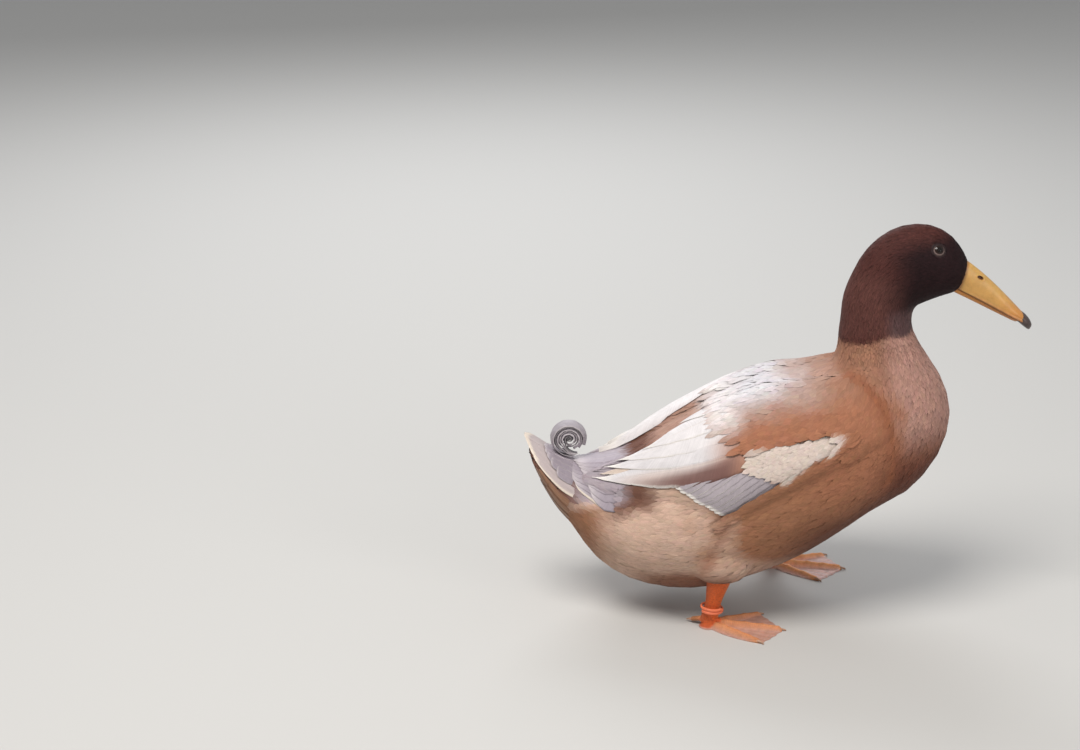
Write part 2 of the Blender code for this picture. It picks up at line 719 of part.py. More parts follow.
def make_foot(name, leg):
    """A webbed foot, flat below: a sheet with a ridge for each toe, and the ankle, claws and hind toe."""
    ankle = Vector(leg["ankle"])
    out = leg["out"]
    spread = math.radians(WEB_BACK_ANGLE)
    turns, steps = 20, 5
    mesh = bmesh.new()
    tops, lows = [], []
    for i in range(turns + 1):
        angle = -spread + 2 * spread * i / turns
        reach = foot_reach(angle)
        heading = math.radians(leg["heading"]) + out * angle
        direction = Vector((math.cos(heading), math.sin(heading), 0))
        top_row, low_row = [], []
        for j in range(1, steps + 1):
            r = reach * j / steps
            height = WEB_THICK
            for toe_angle, length, radius in TOES:
                off = r * math.sin(angle - math.radians(toe_angle))
                thick = 2 * radius * (1 - 0.45 * r / length)
                width = radius * (1.15 - 0.4 * r / length)
                height = max(height, WEB_THICK + (thick - WEB_THICK) * math.exp(-((off / width) ** 2)))
            if j == steps:
                height = WEB_THICK * 0.6
            place = Vector((ankle.x, ankle.y, 0)) + direction * r
            top_row.append(mesh.verts.new(place + Vector((0, 0, height))))
            low_row.append(mesh.verts.new(place))
        tops.append(top_row)
        lows.append(low_row)
    hub_top = mesh.verts.new(Vector((ankle.x, ankle.y, 0.0078)))
    hub_low = mesh.verts.new(Vector((ankle.x, ankle.y, 0)))
    for i in range(turns):
        for rows, hub in ((tops, hub_top), (lows, hub_low)):
            mesh.faces.new((hub, rows[i][0], rows[i + 1][0]))
            for j in range(steps - 1):
                a, b, c, d = rows[i][j], rows[i][j + 1], rows[i + 1][j + 1], rows[i + 1][j]
                mesh.faces.new((a, b, c))
                mesh.faces.new((a, c, d))
        mesh.faces.new((tops[i][-1], lows[i][-1], lows[i + 1][-1], tops[i + 1][-1]))
    for i in (0, turns):
        mesh.faces.new([hub_low] + lows[i] + tops[i][::-1] + [hub_top])
    bmesh.ops.recalc_face_normals(mesh, faces=mesh.faces)
    foot = object_of(name, mesh)
    pieces = [make_ankle(ankle)]
    heading = math.radians(leg["heading"])
    for toe_angle, length, radius in TOES:
        a = heading + out * math.radians(toe_angle)
        direction = Vector((math.cos(a), math.sin(a), 0))
        tip = Vector((ankle.x, ankle.y, 0.0004)) + direction * (length - 0.002)
        pieces.append(make_claw(tip, direction))
    back = Vector((-math.cos(heading), -math.sin(heading), 0))
    inward = Vector((0, -out, 0))
    start = Vector((ankle.x, ankle.y, 0.0085)) + back * 0.003
    end = start + (back * 0.9 + inward * 0.35).normalized() * HALLUX_LENGTH + Vector((0, 0, -0.0045))
    pieces.append(capsule("hallux", start, end, HALLUX_RADIUS, HALLUX_RADIUS * 0.75))
    pieces.append(make_claw(end + back * 0.001, (back + Vector((0, 0, -0.25))).normalized()))
    fuse(foot, pieces)
    keep_largest(foot)
    return foot


def make_ankle(ankle):
    """The joint over the toes' roots, with a flat on top that takes the shank's end."""
    rings = []
    for z, swell in ((0.0008, 1.22), (0.0040, 1.30), (0.0085, 1.15), (ANKLE_HEIGHT, 1.06)):
        ring = []
        for k in range(16):
            a = 2 * math.pi * k / 16
            forward = 0.0030 * (1 - z / ANKLE_HEIGHT)
            ring.append(Vector((
                ankle.x + forward + SHANK_DEPTH / 2 * swell * math.cos(a),
                ankle.y + SHANK_WIDTH / 2 * swell * math.sin(a), z)))
        rings.append(ring)
    return loft("ankle", rings)


def make_claw(root, direction):
    """A short blunt claw, flat below where it lies on the floor."""
    across = Vector((0, 0, 1)).cross(direction).normalized()
    up = direction.cross(across)
    rings = []
    for q, r in ((-0.35, 1.0), (0.2, 0.95), (0.65, 0.62), (1.0, 0.22)):
        middle = root + direction * (CLAW_LENGTH * q) + up * (CLAW_RADIUS * r)
        ring = []
        for k in range(8):
            a = 2 * math.pi * k / 8
            ring.append(middle + (across * math.cos(a) * 0.8 + up * math.sin(a)) * CLAW_RADIUS * r)
        rings.append(ring)
    return loft("claw", rings)


def make_band(leg):
    """The leg band, a smooth round ring that hangs loose on the shank and lies on the foot."""
    hock, ankle = Vector(leg["hock"]), Vector(leg["ankle"])
    f = (BAND_AT - ankle.z) / (hock.z - ankle.z)
    centre = ankle.lerp(hock, f)
    centre.z = BAND_AT
    axis = Vector((math.sin(BAND_TILT), 0, math.cos(BAND_TILT)))
    return ring_tube("leg_band", centre, axis, BAND_OUTER - BAND_THICK, BAND_THICK, 24, 8)


def make_curls(tail_grown, torso_grown):
    """The drake's curled feathers: each runs back from one root, up and forward round its roll."""
    curls = ball("tail_curls", CURL_BASE, CURL_BASE_RADII, segments=14, rings=8)
    pieces = []
    for start_radius, end_radius, sweep, across, wide in CURLS:
        steps = 13
        stations = []
        for i in range(steps + 1):
            q = i / steps
            a = math.radians(CURL_START - sweep * q)
            radius = start_radius + (end_radius - start_radius) * q
            root = max(0.0, 1 - q / 0.14)
            radius += (CURLS[0][0] - start_radius) * root
            out = Vector((math.cos(a), 0, math.sin(a)))
            half = wide / 2 * min(1.0, 0.6 + 3 * q) * min(1.0, (1 - q) / 0.16 + 0.25)
            row = []
            for k in (-1, 0, 1):
                base = CURL_CENTRE + Vector((0, across * (1 - root) + half * k, 0))
                dip = CURL_THICK * 0.6 * k * k
                row.append((base + out * (radius - CURL_THICK / 2 - dip),
                            base + out * (radius + CURL_THICK / 2 - dip)))
            stations.append(row)
        pieces.append(vane("curl", stations))
    fuse(curls, pieces)
    cut(curls, tail_grown, keep_tool=True)
    cut(curls, torso_grown, keep_tool=True)
    keep_largest(curls)
    return curls


def main():
    for old in list(bpy.data.objects):
        bpy.data.objects.remove(old)
    torso = finish(body_part("torso", TAIL_CUT, NECK_CUT, 23, 30), (0.60, 0.36, 0.20), 0.85)
    finish(body_part("neck", NECK_CUT, HEAD_CUT, 6, 24), (0.16, 0.10, 0.09), 0.75)
    head = body_part("head", HEAD_CUT, BILL_CUT, 12, 24)
    for eye in add_eyes(head):
        finish(eye, (0.02, 0.012, 0.008), 0.08)
    finish(head, (0.10, 0.065, 0.06), 0.7)
    finish(make_bill_upper(), (0.72, 0.40, 0.08), 0.42)
    finish(make_bill_lower(), (0.62, 0.34, 0.09), 0.45)
    finish(make_bill_nail(), (0.10, 0.075, 0.06), 0.5)
    tree = surface_of(torso)
    torso_grown = grown(torso, GAP)
    wings = []
    for name, side in (("wing_left", 1), ("wing_right", -1)):
        wings.append(make_wing(name, tree, torso_grown, side))
        finish(wings[-1], (0.75, 0.66, 0.56), 0.8)
    tail = finish(make_tail(), (0.62, 0.54, 0.47), 0.8)
    for side, leg in LEGS.items():
        finish(make_thigh("thigh_" + side, leg, torso_grown), (0.55, 0.36, 0.22), 0.85)
        finish(make_shank("shank_" + side, leg), (0.72, 0.27, 0.08), 0.5)
        finish(make_foot("foot_" + side, leg), (0.74, 0.30, 0.12), 0.5)
    finish(make_band(LEGS["right"]), (0.85, 0.14, 0.05), 0.35)
    tail_grown = grown(tail, GAP)
    finish(make_curls(tail_grown, torso_grown), (0.55, 0.50, 0.50), 0.8)
    bpy.data.objects.remove(tail_grown)
    bpy.data.objects.remove(torso_grown)


main()
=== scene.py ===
# %% [markdown]
# # A buff drake, dressed as a museum model
# The packed solids give the drake's true sizes: torso, neck, head, wings, tail, legs and bill.
# This script works from the inside out, as a maker of museum birds would: a skin over the
# solids, then the small feathers in their thousands, then wing, tail and curled feathers,
# and last the horn of the bill, the eyes, the scaly legs, the webs and the leg band.

import json
import math

import bpy
import numpy as np
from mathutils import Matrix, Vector
from mathutils.bvhtree import BVHTree
from mathutils.kdtree import KDTree

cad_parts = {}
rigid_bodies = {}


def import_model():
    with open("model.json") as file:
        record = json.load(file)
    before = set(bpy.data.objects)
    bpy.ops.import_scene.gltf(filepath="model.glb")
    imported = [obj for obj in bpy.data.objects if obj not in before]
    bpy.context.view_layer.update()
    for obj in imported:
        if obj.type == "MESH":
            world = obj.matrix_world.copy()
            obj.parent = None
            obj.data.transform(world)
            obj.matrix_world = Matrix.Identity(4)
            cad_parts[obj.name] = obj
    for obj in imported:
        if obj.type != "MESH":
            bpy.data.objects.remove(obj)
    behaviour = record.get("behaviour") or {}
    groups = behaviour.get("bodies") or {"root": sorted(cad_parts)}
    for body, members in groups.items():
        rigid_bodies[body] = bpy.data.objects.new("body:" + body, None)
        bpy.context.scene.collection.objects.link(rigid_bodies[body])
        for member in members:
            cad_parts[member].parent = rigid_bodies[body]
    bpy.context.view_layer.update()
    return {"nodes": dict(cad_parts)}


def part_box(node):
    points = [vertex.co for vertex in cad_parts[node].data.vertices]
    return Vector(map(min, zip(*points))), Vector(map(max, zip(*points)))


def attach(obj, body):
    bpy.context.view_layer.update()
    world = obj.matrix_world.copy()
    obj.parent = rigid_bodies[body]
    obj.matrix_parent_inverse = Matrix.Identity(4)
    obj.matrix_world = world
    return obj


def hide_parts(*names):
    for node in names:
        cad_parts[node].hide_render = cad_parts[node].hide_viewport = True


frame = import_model()
MM = 0.001

# %% [markdown]
# ## The view
# The picture was taken from a little above the bird, from its right side and level with its
# tail. A long lens keeps the outline true, as a bird painter would stand well back.

# %% The photographer's place
PHOTO_WIDE = 1080
FOCAL_PIXELS = 2300.0
SENSOR_MM = 36.0
STANDPOINT = Vector((-0.2257, -2.0585, 0.9493))
LOOKING = Vector((0.0, 0.94407, -0.32974))


def photographer():
    """The camera at the photograph's standpoint and framing."""
    lens = bpy.data.cameras.new("photographer")
    lens.sensor_width = SENSOR_MM
    lens.lens = SENSOR_MM * FOCAL_PIXELS / PHOTO_WIDE
    camera = bpy.data.objects.new("photographer", lens)
    camera.location = STANDPOINT
    camera.rotation_mode = "QUATERNION"
    camera.rotation_quaternion = LOOKING.to_track_quat("-Z", "Y")
    bpy.context.scene.collection.objects.link(camera)
    bpy.context.scene.camera = camera
    return camera


print("lens of", round(photographer().data.lens, 1), "mm")

# %% [markdown]
# ## Floor and light
# A plain pale floor, a pale room and three soft lamps. Large lamps give the soft-edged shade
# that lets feathers read as feathers. The strongest stands high and a little behind the bird,
# so that its back shines and its belly falls into shade.

# %% Floor and lamps
FLOOR_SIZE = 12.0
ROOM_TINT = (0.8, 0.82, 0.85)
ROOM_STRENGTH = 0.46


def pale_floor():
    data = bpy.data.meshes.new("floor")
    h = FLOOR_SIZE / 2
    data.from_pydata([(-h, -h, 0), (h, -h, 0), (h, h, 0), (-h, h, 0)], [], [(0, 1, 2, 3)])
    floor = bpy.data.objects.new("floor", data)
    bpy.context.scene.collection.objects.link(floor)
    material = bpy.data.materials.new("pale_floor")
    material.use_nodes = True
    shader = material.node_tree.nodes["Principled BSDF"]
    shader.inputs["Base Color"].default_value = (0.54, 0.53, 0.51, 1)
    shader.inputs["Roughness"].default_value = 0.85
    data.materials.append(material)


def soft_lamp(name, place, aim, size, watts, tint):
    data = bpy.data.lights.new(name, "AREA")
    data.shape = "DISK"
    data.size = size
    data.energy = watts
    data.color = tint
    lamp = bpy.data.objects.new(name, data)
    lamp.location = place
    lamp.rotation_mode = "QUATERNION"
    lamp.rotation_quaternion = (Vector(aim) - Vector(place)).to_track_quat("-Z", "Y")
    bpy.context.scene.collection.objects.link(lamp)


pale_floor()
room = bpy.data.worlds.new("pale_room")
room.use_nodes = True
room.node_tree.nodes["Background"].inputs["Color"].default_value = (*ROOM_TINT, 1)
room.node_tree.nodes["Background"].inputs["Strength"].default_value = ROOM_STRENGTH
bpy.context.scene.world = room
bpy.context.scene.view_settings.view_transform = "Standard"
soft_lamp("high_lamp", (-0.7, -0.9, 2.3), (0, 0, 0.15), 1.3, 50, (1.0, 0.97, 0.93))
soft_lamp("front_lamp", (1.8, -1.6, 1.1), (0, 0, 0.2), 1.2, 14, (1.0, 0.98, 0.96))
soft_lamp("back_lamp", (-0.4, 1.9, 1.6), (0, 0, 0.2), 1.4, 26, (0.95, 0.97, 1.0))
print("lamps:", [lamp.name for lamp in bpy.data.lights])

# %% [markdown]
# ## Small tools
# Almost everything below is made from arrays of points. These few helpers fade one value into
# another, mix tints, and give smooth curves and a smooth noise that is the same each run.

# %% Helpers for numbers


def fade(value, start, end):
    """0 before start, 1 after end, and a smooth rise between."""
    t = np.clip((np.asarray(value, float) - start) / (end - start), 0, 1)
    return t * t * (3 - 2 * t)


def bell(value, centre, width):
    """1 at the centre, falling off softly within about two widths on either side."""
    return np.exp(-((value - centre) / width) ** 2)


def unit(vectors):
    return vectors / np.maximum(np.linalg.norm(vectors, axis=-1, keepdims=True), 1e-12)


def wander(points, size, seed, waves=9):
    """Smooth noise from -1 to 1, with bumps of about this size. It is the same each run."""
    rng = np.random.default_rng(seed)
    ways = unit(rng.normal(size=(waves, 3)))
    pitch = 2 * np.pi / (size * rng.uniform(0.7, 1.8, waves))
    phase = rng.uniform(0, 2 * np.pi, waves)
    return np.tanh(np.sin(points @ (ways * pitch[:, None]).T + phase).sum(-1) / waves ** 0.5)


def tinted(base, tint, share):
    """The base colours with a share of another colour mixed in, point by point."""
    share = np.asarray(share)[..., None]
    return base * (1 - share) + np.asarray(tint) * share


def plain(tint, *shape):
    """One colour at every point of a grid of this shape."""
    return np.tile(tint, (*shape, 1)).astype(float)


def stacked(*parts):
    """Rows of numbers, such as points, from arrays for each number that may differ in shape."""
    return np.stack(np.broadcast_arrays(*parts), -1)


def between(pair, share):
    """A value part of the way from the first of a pair to the second."""
    return pair[0] + (pair[1] - pair[0]) * share


def through(xs, ys, at):
    """A smooth curve through a few named sizes (monotone cubic), read at any place."""
    xs, ys, at = np.asarray(xs, float), np.asarray(ys, float), np.asarray(at, float)
    step = np.diff(ys) / np.diff(xs)
    slope = np.concatenate([[step[0]], (step[1:] + step[:-1]) / 2, [step[-1]]])
    slope[1:-1][step[1:] * step[:-1] <= 0] = 0
    i = np.clip(np.searchsorted(xs, at) - 1, 0, len(xs) - 2)
    h = xs[i + 1] - xs[i]
    t = np.clip((at - xs[i]) / h, 0, 1)
    return ((2 * t**3 - 3 * t**2 + 1) * ys[i] + (t**3 - 2 * t**2 + t) * h * slope[i]
            + (3 * t**2 - 2 * t**3) * ys[i + 1] + (t**3 - t**2) * h * slope[i + 1])


print("half way through a fade:", float(fade(0.5, 0, 1)))

# %% [markdown]
# ## Meshes from arrays
# Blender's lists of points and faces are filled at once from arrays, which is far quicker than
# adding them one by one. Tints and feather places are stored at every point, where the
# materials read them, and every piece ends with the same few steps.

# %% Helpers for meshes


def mesh_of(name, points, faces, flat=None):
    """A scene object from an array of points and arrays of faces. Flat says which faces are flat."""
    data = bpy.data.meshes.new(name)
    sizes = np.concatenate([np.full(len(f), f.shape[1]) for f in faces]).astype(np.int32)
    corners = np.concatenate([f.ravel() for f in faces]).astype(np.int32)
    data.vertices.add(len(points))
    data.vertices.foreach_set("co", np.asarray(points, np.float32).ravel())
    data.loops.add(len(corners))
    data.loops.foreach_set("vertex_index", corners)
    data.polygons.add(len(sizes))
    data.polygons.foreach_set("loop_start", np.concatenate([[0], np.cumsum(sizes)[:-1]]).astype(np.int32))
    data.update(calc_edges=True)
    smooth = np.ones(len(sizes), bool) if flat is None else ~flat
    data.polygons.foreach_set("use_smooth", smooth)
    made = bpy.data.objects.new(name, data)
    bpy.context.scene.collection.objects.link(made)
    return made


def grid_faces(rows, columns, closed=False):
    """The quads of a grid of points, row after row. Closed joins its last column to its first."""
    r = np.arange(rows - 1)[:, None]
    c = np.arange(columns if closed else columns - 1)[None, :]
    d = (c + 1) % columns
    quads = [r * columns + c, (r + 1) * columns + c, (r + 1) * columns + d, r * columns + d]
    return stacked(*quads).reshape(-1, 4)


def give_values(made, name, values):
    """Stores a colour (4 numbers) or a vector (3 numbers) at every point of a mesh."""
    kind = "FLOAT_COLOR" if values.shape[1] == 4 else "FLOAT_VECTOR"
    field = "color" if kind == "FLOAT_COLOR" else "vector"
    layer = made.data.attributes.new(name, kind, "POINT")
    layer.data.foreach_set(field, values.astype(np.float32).ravel())


def give_tint(made, colours):
    give_values(made, "tint", np.concatenate([np.clip(colours, 0, 1), np.ones((len(colours), 1))], 1))


def give_bake_map(made, places):
    """The map that the baked finish is laid out on, from one place in the unit square per point."""
    count = len(made.data.loops)
    corner = np.empty(count, np.int32)
    made.data.loops.foreach_get("vertex_index", corner)
    layer = made.data.uv_layers.new(name="OFBake")
    layer.data.foreach_set("uv", places[corner].astype(np.float32).ravel())


def points_of(data):
    co = np.empty(len(data.vertices) * 3, np.float32)
    data.vertices.foreach_get("co", co)
    return co.reshape(-1, 3).astype(float)


def finished(made, material, replaced=()):
    """The last steps for every piece: its material, its body and the solids it stands for."""
    made.data.materials.append(material)
    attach(made, "root")
    if replaced:
        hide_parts(*replaced)
    made.data.calc_loop_triangles()
    print(made.name, len(made.data.loop_triangles), "triangles")
    return made


print("a closed tube of 3 rings of 8 points has", len(grid_faces(3, 8, closed=True)), "quads")

# %% [markdown]
# ## The body's surface
# A bird's coat grows on one unbroken skin. The solids are cut where torso, neck and head meet,
# so their shapes are melted together with a voxel remesh and smoothed. Folded wings stand a
# little proud of the body, and the same few sizes that shape the wing solids swell this
# surface where they lie.

# %% Sizes of the folded wing
# Stations from the shoulder to the tip: x in mm, the angles of the lower and upper edge above
# the side of the body, and the height over the body in mm
WING = np.array([
    (102, 26, 44, 3.0), (95, 22, 57, 5.5), (75, 18, 67, 8.0), (45, 14, 74, 8.5), (10, 10, 79, 10.0),
    (-25, 6, 81, 12.0), (-58, 4, 81, 13.5), (-90, 15, 79, 13.5), (-120, 25, 77, 11.5),
    (-148, 34, 75, 8.5), (-168, 44, 71, 6.0), (-184, 54, 64, 3.0),
])
WING_EDGE = 2.2
BODY_RADIUS = 85.0
WING_BED = 1.3


def axis_height(x):
    """Height of the line inside the body that the wings' angles turn about."""
    return 0.134 + 0.28 * np.maximum(x, -0.165)


def wing_height(x, angle):
    """Height of the folded wing over the body, in metres, falling to nothing outside it."""
    sizes = [through(-WING[:, 0], WING[:, k], -x / MM) for k in (1, 2, 3)]
    low, high, thick = sizes
    f = (angle - low) / (high - low)
    inside = np.clip(f, 0, 1)
    rise = 0.62 * np.sin(np.minimum(1, inside / 0.22) * np.pi / 2) + 0.38 * inside
    rise = rise * np.minimum(1, (1 - inside) / 0.16) ** 0.5
    height = WING_EDGE + (thick - WING_EDGE) * rise
    beyond = np.abs(f - inside) * np.radians(high - low) * BODY_RADIUS
    beyond = beyond + np.maximum(0, WING[-1, 0] - x / MM) + np.maximum(0, x / MM - WING[0, 0])
    return np.maximum(0, height - np.minimum(height, 0.55 * beyond)) * MM


print("the folded wing stands up to", WING[:, 3].max(), "mm over the body")

# %% [markdown]
# ## The tail's wedge
# The tail is a flat wedge that rises backwards. Stations along it give its upper line, its
# lower line and its width, and one function turns them into a point anywhere on it, lifted
# off as far as a feather needs. A plain wedge inside it will be melted into the body.

# %% Sizes of the tail
# Stations from the vent to the tip: the upper point's x and z, the lower point's x and z, and
# half the width, in mm
TAIL = np.array([
    (-192, 144, -194, 80, 40), (-203, 147, -208, 99, 41), (-214, 152, -220, 120, 39),
    (-224, 157.5, -229, 139, 34), (-233, 163, -235, 154, 26), (-241, 169, -241.5, 166, 15),
])
TAIL_CORE = 4.2
TAIL_EGG = 0.06


def tail_point(t, angle, lift):
    """Points over the tail at stations t, at angles in degrees from its top, lifted off by some metres."""
    t, angle = np.broadcast_arrays(np.asarray(t, float), np.asarray(angle, float))
    dx, dz, vx, vz, wide = (through(np.arange(len(TAIL)), TAIL[:, k], t) * MM for k in range(5))
    half_x, half_z = (dx - vx) / 2, (dz - vz) / 2
    long = np.hypot(half_x, half_z)
    a = np.radians(angle)
    spread = wide * np.sin(a) * (1 - TAIL_EGG * (1 - t / (len(TAIL) - 1)) * np.cos(a))
    across = np.cos(a) * wide / long
    out = unit(np.stack([half_x * across, np.sin(a) * long, half_z * across], -1))
    core = np.stack([(dx + vx) / 2 + half_x * np.cos(a), spread, (dz + vz) / 2 + half_z * np.cos(a)], -1)
    return core + out * np.asarray(lift)[..., None]


def tail_core():
    """A closed plain wedge under the tail's feathers, only used to shape the surface."""
    rings, sides = 14, 36
    t = np.linspace(0, TAIL_CORE, rings)[:, None]
    angle = np.linspace(0, 360, sides, endpoint=False)[None, :]
    points = tail_point(t, angle, -0.0008).reshape(-1, 3)
    caps = [np.arange(sides)[None, :], np.arange(sides)[None, ::-1] + (rings - 1) * sides]
    return points, [grid_faces(rings, sides, closed=True)] + caps


print("the tail runs from x", TAIL[0, 0], "to", TAIL[-1, 0], "mm")

# %% [markdown]
# ## Melting the solids
# A voxel remesh takes the outside of all the solids together and gives one closed mesh of even
# quads, and a few rounds of smoothing soften its steps. Joining the solids exactly would leave
# sharp seams, and a living bird has none.

# %% Melt the solids into one surface
FLESH = ("torso", "neck", "head", "thigh_left", "thigh_right")
VOXEL = 0.0019
SMOOTH_ROUNDS = 5


def melted_body():
    """One closed mesh around torso, neck, head, thighs and tail core."""
    points, triangles, start = [], [], 0
    for node in FLESH:
        data = frame["nodes"][node].data
        data.calc_loop_triangles()
        tris = np.empty(len(data.loop_triangles) * 3, np.int32)
        data.loop_triangles.foreach_get("vertices", tris)
        points.append(points_of(data))
        triangles.append(tris.reshape(-1, 3) + start)
        start += len(data.vertices)
    tail_points, tail_faces = tail_core()
    points.append(tail_points)
    raw = mesh_of("melt", np.concatenate(points),
                  [np.concatenate(triangles)] + [f + start for f in tail_faces])
    voxels = raw.modifiers.new("voxels", "REMESH")
    voxels.mode = "VOXEL"
    voxels.voxel_size = VOXEL
    soft = raw.modifiers.new("soft", "SMOOTH")
    soft.factor = 0.5
    soft.iterations = SMOOTH_ROUNDS
    graph = bpy.context.evaluated_depsgraph_get()
    data = bpy.data.meshes.new_from_object(raw.evaluated_get(graph))
    bpy.data.objects.remove(raw)
    quads = np.empty(len(data.loops), np.int32)
    data.loops.foreach_get("vertex_index", quads)
    return points_of(data), quads.reshape(-1, 4)


def largest_shell(points, quads):
    """Drops the small closed surfaces that melting can leave inside."""
    label = np.arange(len(points))
    while True:
        low = label[quads].min(1)
        new = label.copy()
        np.minimum.at(new, quads.ravel(), np.repeat(low, 4))
        new = new[new]
        if (new == label).all():
            break
        label = new
    keep = label == np.bincount(label).argmax()
    index = np.cumsum(keep) - 1
    return points[keep], index[quads[keep[quads[:, 0]]]]


body_points, body_quads = largest_shell(*melted_body())
print("melted body:", len(body_points), "points,", len(body_quads), "quads")

# %% [markdown]
# ## A surface to lay feathers on
# A feather needs the nearest place on the body and the way off it, thousands of times over, so
# the mesh goes into a search tree. Wing and tail feathers are given by x and an angle round
# the body instead, and a table of distances turns those into points.

# %% A surface that feathers can be laid on


def normals_of(points, quads):
    across = np.cross(points[quads[:, 2]] - points[quads[:, 0]], points[quads[:, 3]] - points[quads[:, 1]])
    total = np.zeros_like(points)
    for k in range(4):
        np.add.at(total, quads[:, k], across)
    return unit(total)


class Surface:
    """The body's outer surface, with smooth normals and a fast search for the nearest place on it."""

    def __init__(self, points, quads, rounds=3):
        self.points, self.quads = points, quads
        self.tree = BVHTree.FromPolygons(points.tolist(), quads.tolist())
        normals = normals_of(points, quads)
        for _ in range(rounds):
            total = np.zeros_like(normals)
            middle = normals[quads].mean(1)
            for k in range(4):
                np.add.at(total, quads[:, k], middle)
            normals = unit(total)
        self.normals = normals

    def nearest(self, places):
        found = np.empty((len(places), 3))
        which = np.empty(len(places), int)
        for i, place in enumerate(places.tolist()):
            spot, _, k, _ = self.tree.find_nearest(place)
            found[i] = spot
            which[i] = k
        return found, unit(self.normals[self.quads[which]].mean(1))


class RoundMap:
    """Reads the surface by x and the angle above the body's side, from a line inside the body."""

    def __init__(self, tree, axis, x_range, angle_range, steps):
        self.axis, self.x_range, self.angle_range = axis, x_range, angle_range
        self.xs = np.linspace(*x_range, steps[0])
        self.angles = np.linspace(*angle_range, steps[1])
        self.radius = np.zeros(steps)
        for i, x in enumerate(self.xs):
            start = Vector((x, 0, float(axis(x))))
            for j, angle in enumerate(np.radians(self.angles)):
                hit = tree.ray_cast(start, Vector((0, -math.cos(angle), math.sin(angle))))
                self.radius[i, j] = hit[3] if hit[0] else self.radius[i, j - 1]

    def place(self, x, angle, height, side):
        """World points over the surface. Side is -1 for the drake's right, 1 for its left."""
        i = np.clip((x - self.x_range[0]) / (self.xs[1] - self.xs[0]), 0, len(self.xs) - 1.001)
        pitch = self.angles[1] - self.angles[0]
        j = np.clip((angle - self.angle_range[0]) / pitch, 0, len(self.angles) - 1.001)
        i0, j0 = i.astype(int), j.astype(int)
        fi, fj = i - i0, j - j0
        r = self.radius
        radius = ((r[i0, j0] * (1 - fj) + r[i0, j0 + 1] * fj) * (1 - fi)
                  + (r[i0 + 1, j0] * (1 - fj) + r[i0 + 1, j0 + 1] * fj) * fi) + height
        a = np.radians(angle)
        return np.stack([x, side * np.cos(a) * radius, self.axis(x) + np.sin(a) * radius], -1)


plain_surface = Surface(body_points, body_quads)
wing_map = RoundMap(plain_surface.tree, axis_height, (-0.192, 0.112), (-12, 90), (96, 69))


def round_place(points):
    """The x and the angle above the body's side, in degrees, of any points."""
    x, y, z = points.T
    return x, np.degrees(np.arctan2(z - axis_height(x), np.abs(y)))


def swell_for_wings(points):
    """Moves the surface out where the folded wings lie, so that it beds their feathers."""
    x, angle = round_place(points)
    lift = np.maximum(0, wing_height(x, angle) - WING_BED * MM)
    lift = lift * fade(points[:, 2], 0.05, 0.07) * (x < 0.11) * (points[:, 2] < 0.262)
    a = np.radians(angle)
    out = np.stack([0 * a, np.sign(points[:, 1]) * np.cos(a), np.sin(a)], -1)
    return points + out * lift[:, None]


outer = Surface(swell_for_wings(body_points), body_quads)
print("outer surface:", outer.points.min(0).round(4), outer.points.max(0).round(4))

# %% [markdown]
# ## The lie of the coat, and a flat chart of the skin
# Feathers point from the bill over the head, down the neck and back along the body to the
# tail. A line bent through the middle of the bird gives that direction everywhere: near any
# point, the coat lies along the line. The same line gives a chart of the skin for baking, as
# far along the bird one way and as far round it the other.

# %% The line through the bird
SPINE = np.array([
    (0.172, 0.328), (0.15, 0.337), (0.125, 0.343), (0.104, 0.333), (0.093, 0.313), (0.092, 0.29),
    (0.1, 0.262), (0.105, 0.232), (0.096, 0.203), (0.068, 0.176), (0.025, 0.152), (-0.03, 0.128),
    (-0.09, 0.106), (-0.14, 0.1), (-0.185, 0.115), (-0.215, 0.137), (-0.238, 0.162),
])
LIE_REACH = 0.022
POINTS_AT_ONCE = 20000


def spine_samples(count=120):
    """Even steps along the line, with the direction towards the tail at each."""
    gaps = np.r_[0, np.cumsum(np.linalg.norm(np.diff(SPINE, axis=0), axis=1))]
    at = np.linspace(0, gaps[-1], count)
    line = np.stack([through(gaps, SPINE[:, k], at) for k in (0, 1)], -1)
    return line, unit(np.gradient(line, axis=0)), at / gaps[-1]


spine_line, spine_ways, spine_share = spine_samples()


def spine_weights(points):
    flat = points[:, (0, 2)]
    gap = ((flat[:, None, :] - spine_line[None]) ** 2).sum(-1)
    weight = np.exp(-(gap - gap.min(1, keepdims=True)) / (2 * LIE_REACH**2))
    return weight / weight.sum(1, keepdims=True)


def lie(points, normals):
    """The direction of the coat on the skin at every point."""
    ways = np.empty_like(points)
    for start in range(0, len(points), POINTS_AT_ONCE):
        part = slice(start, start + POINTS_AT_ONCE)
        flat = spine_weights(points[part]) @ spine_ways
        ways[part] = np.stack([flat[:, 0], 0 * flat[:, 0], flat[:, 1]], -1)
    ways = ways - normals * (ways * normals).sum(-1, keepdims=True)
    return unit(ways)


def chart(points):
    """The place of every point in the unit square: along the bird, and round it from the belly."""
    places = np.empty((len(points), 2))
    for start in range(0, len(points), POINTS_AT_ONCE):
        part = slice(start, start + POINTS_AT_ONCE)
        weight = spine_weights(points[part])
        centre, way = weight @ spine_line, unit(weight @ spine_ways)
        off = points[part][:, (0, 2)] - centre
        up = off[:, 0] * way[:, 1] - off[:, 1] * way[:, 0]
        turn = np.arctan2(points[part][:, 1], up)
        places[part] = np.stack([0.03 + 0.94 * (weight @ spine_share), 0.5 + 0.46 * turn / np.pi], -1)
    return places


print("line through the bird:", len(spine_line), "steps from bill to tail")

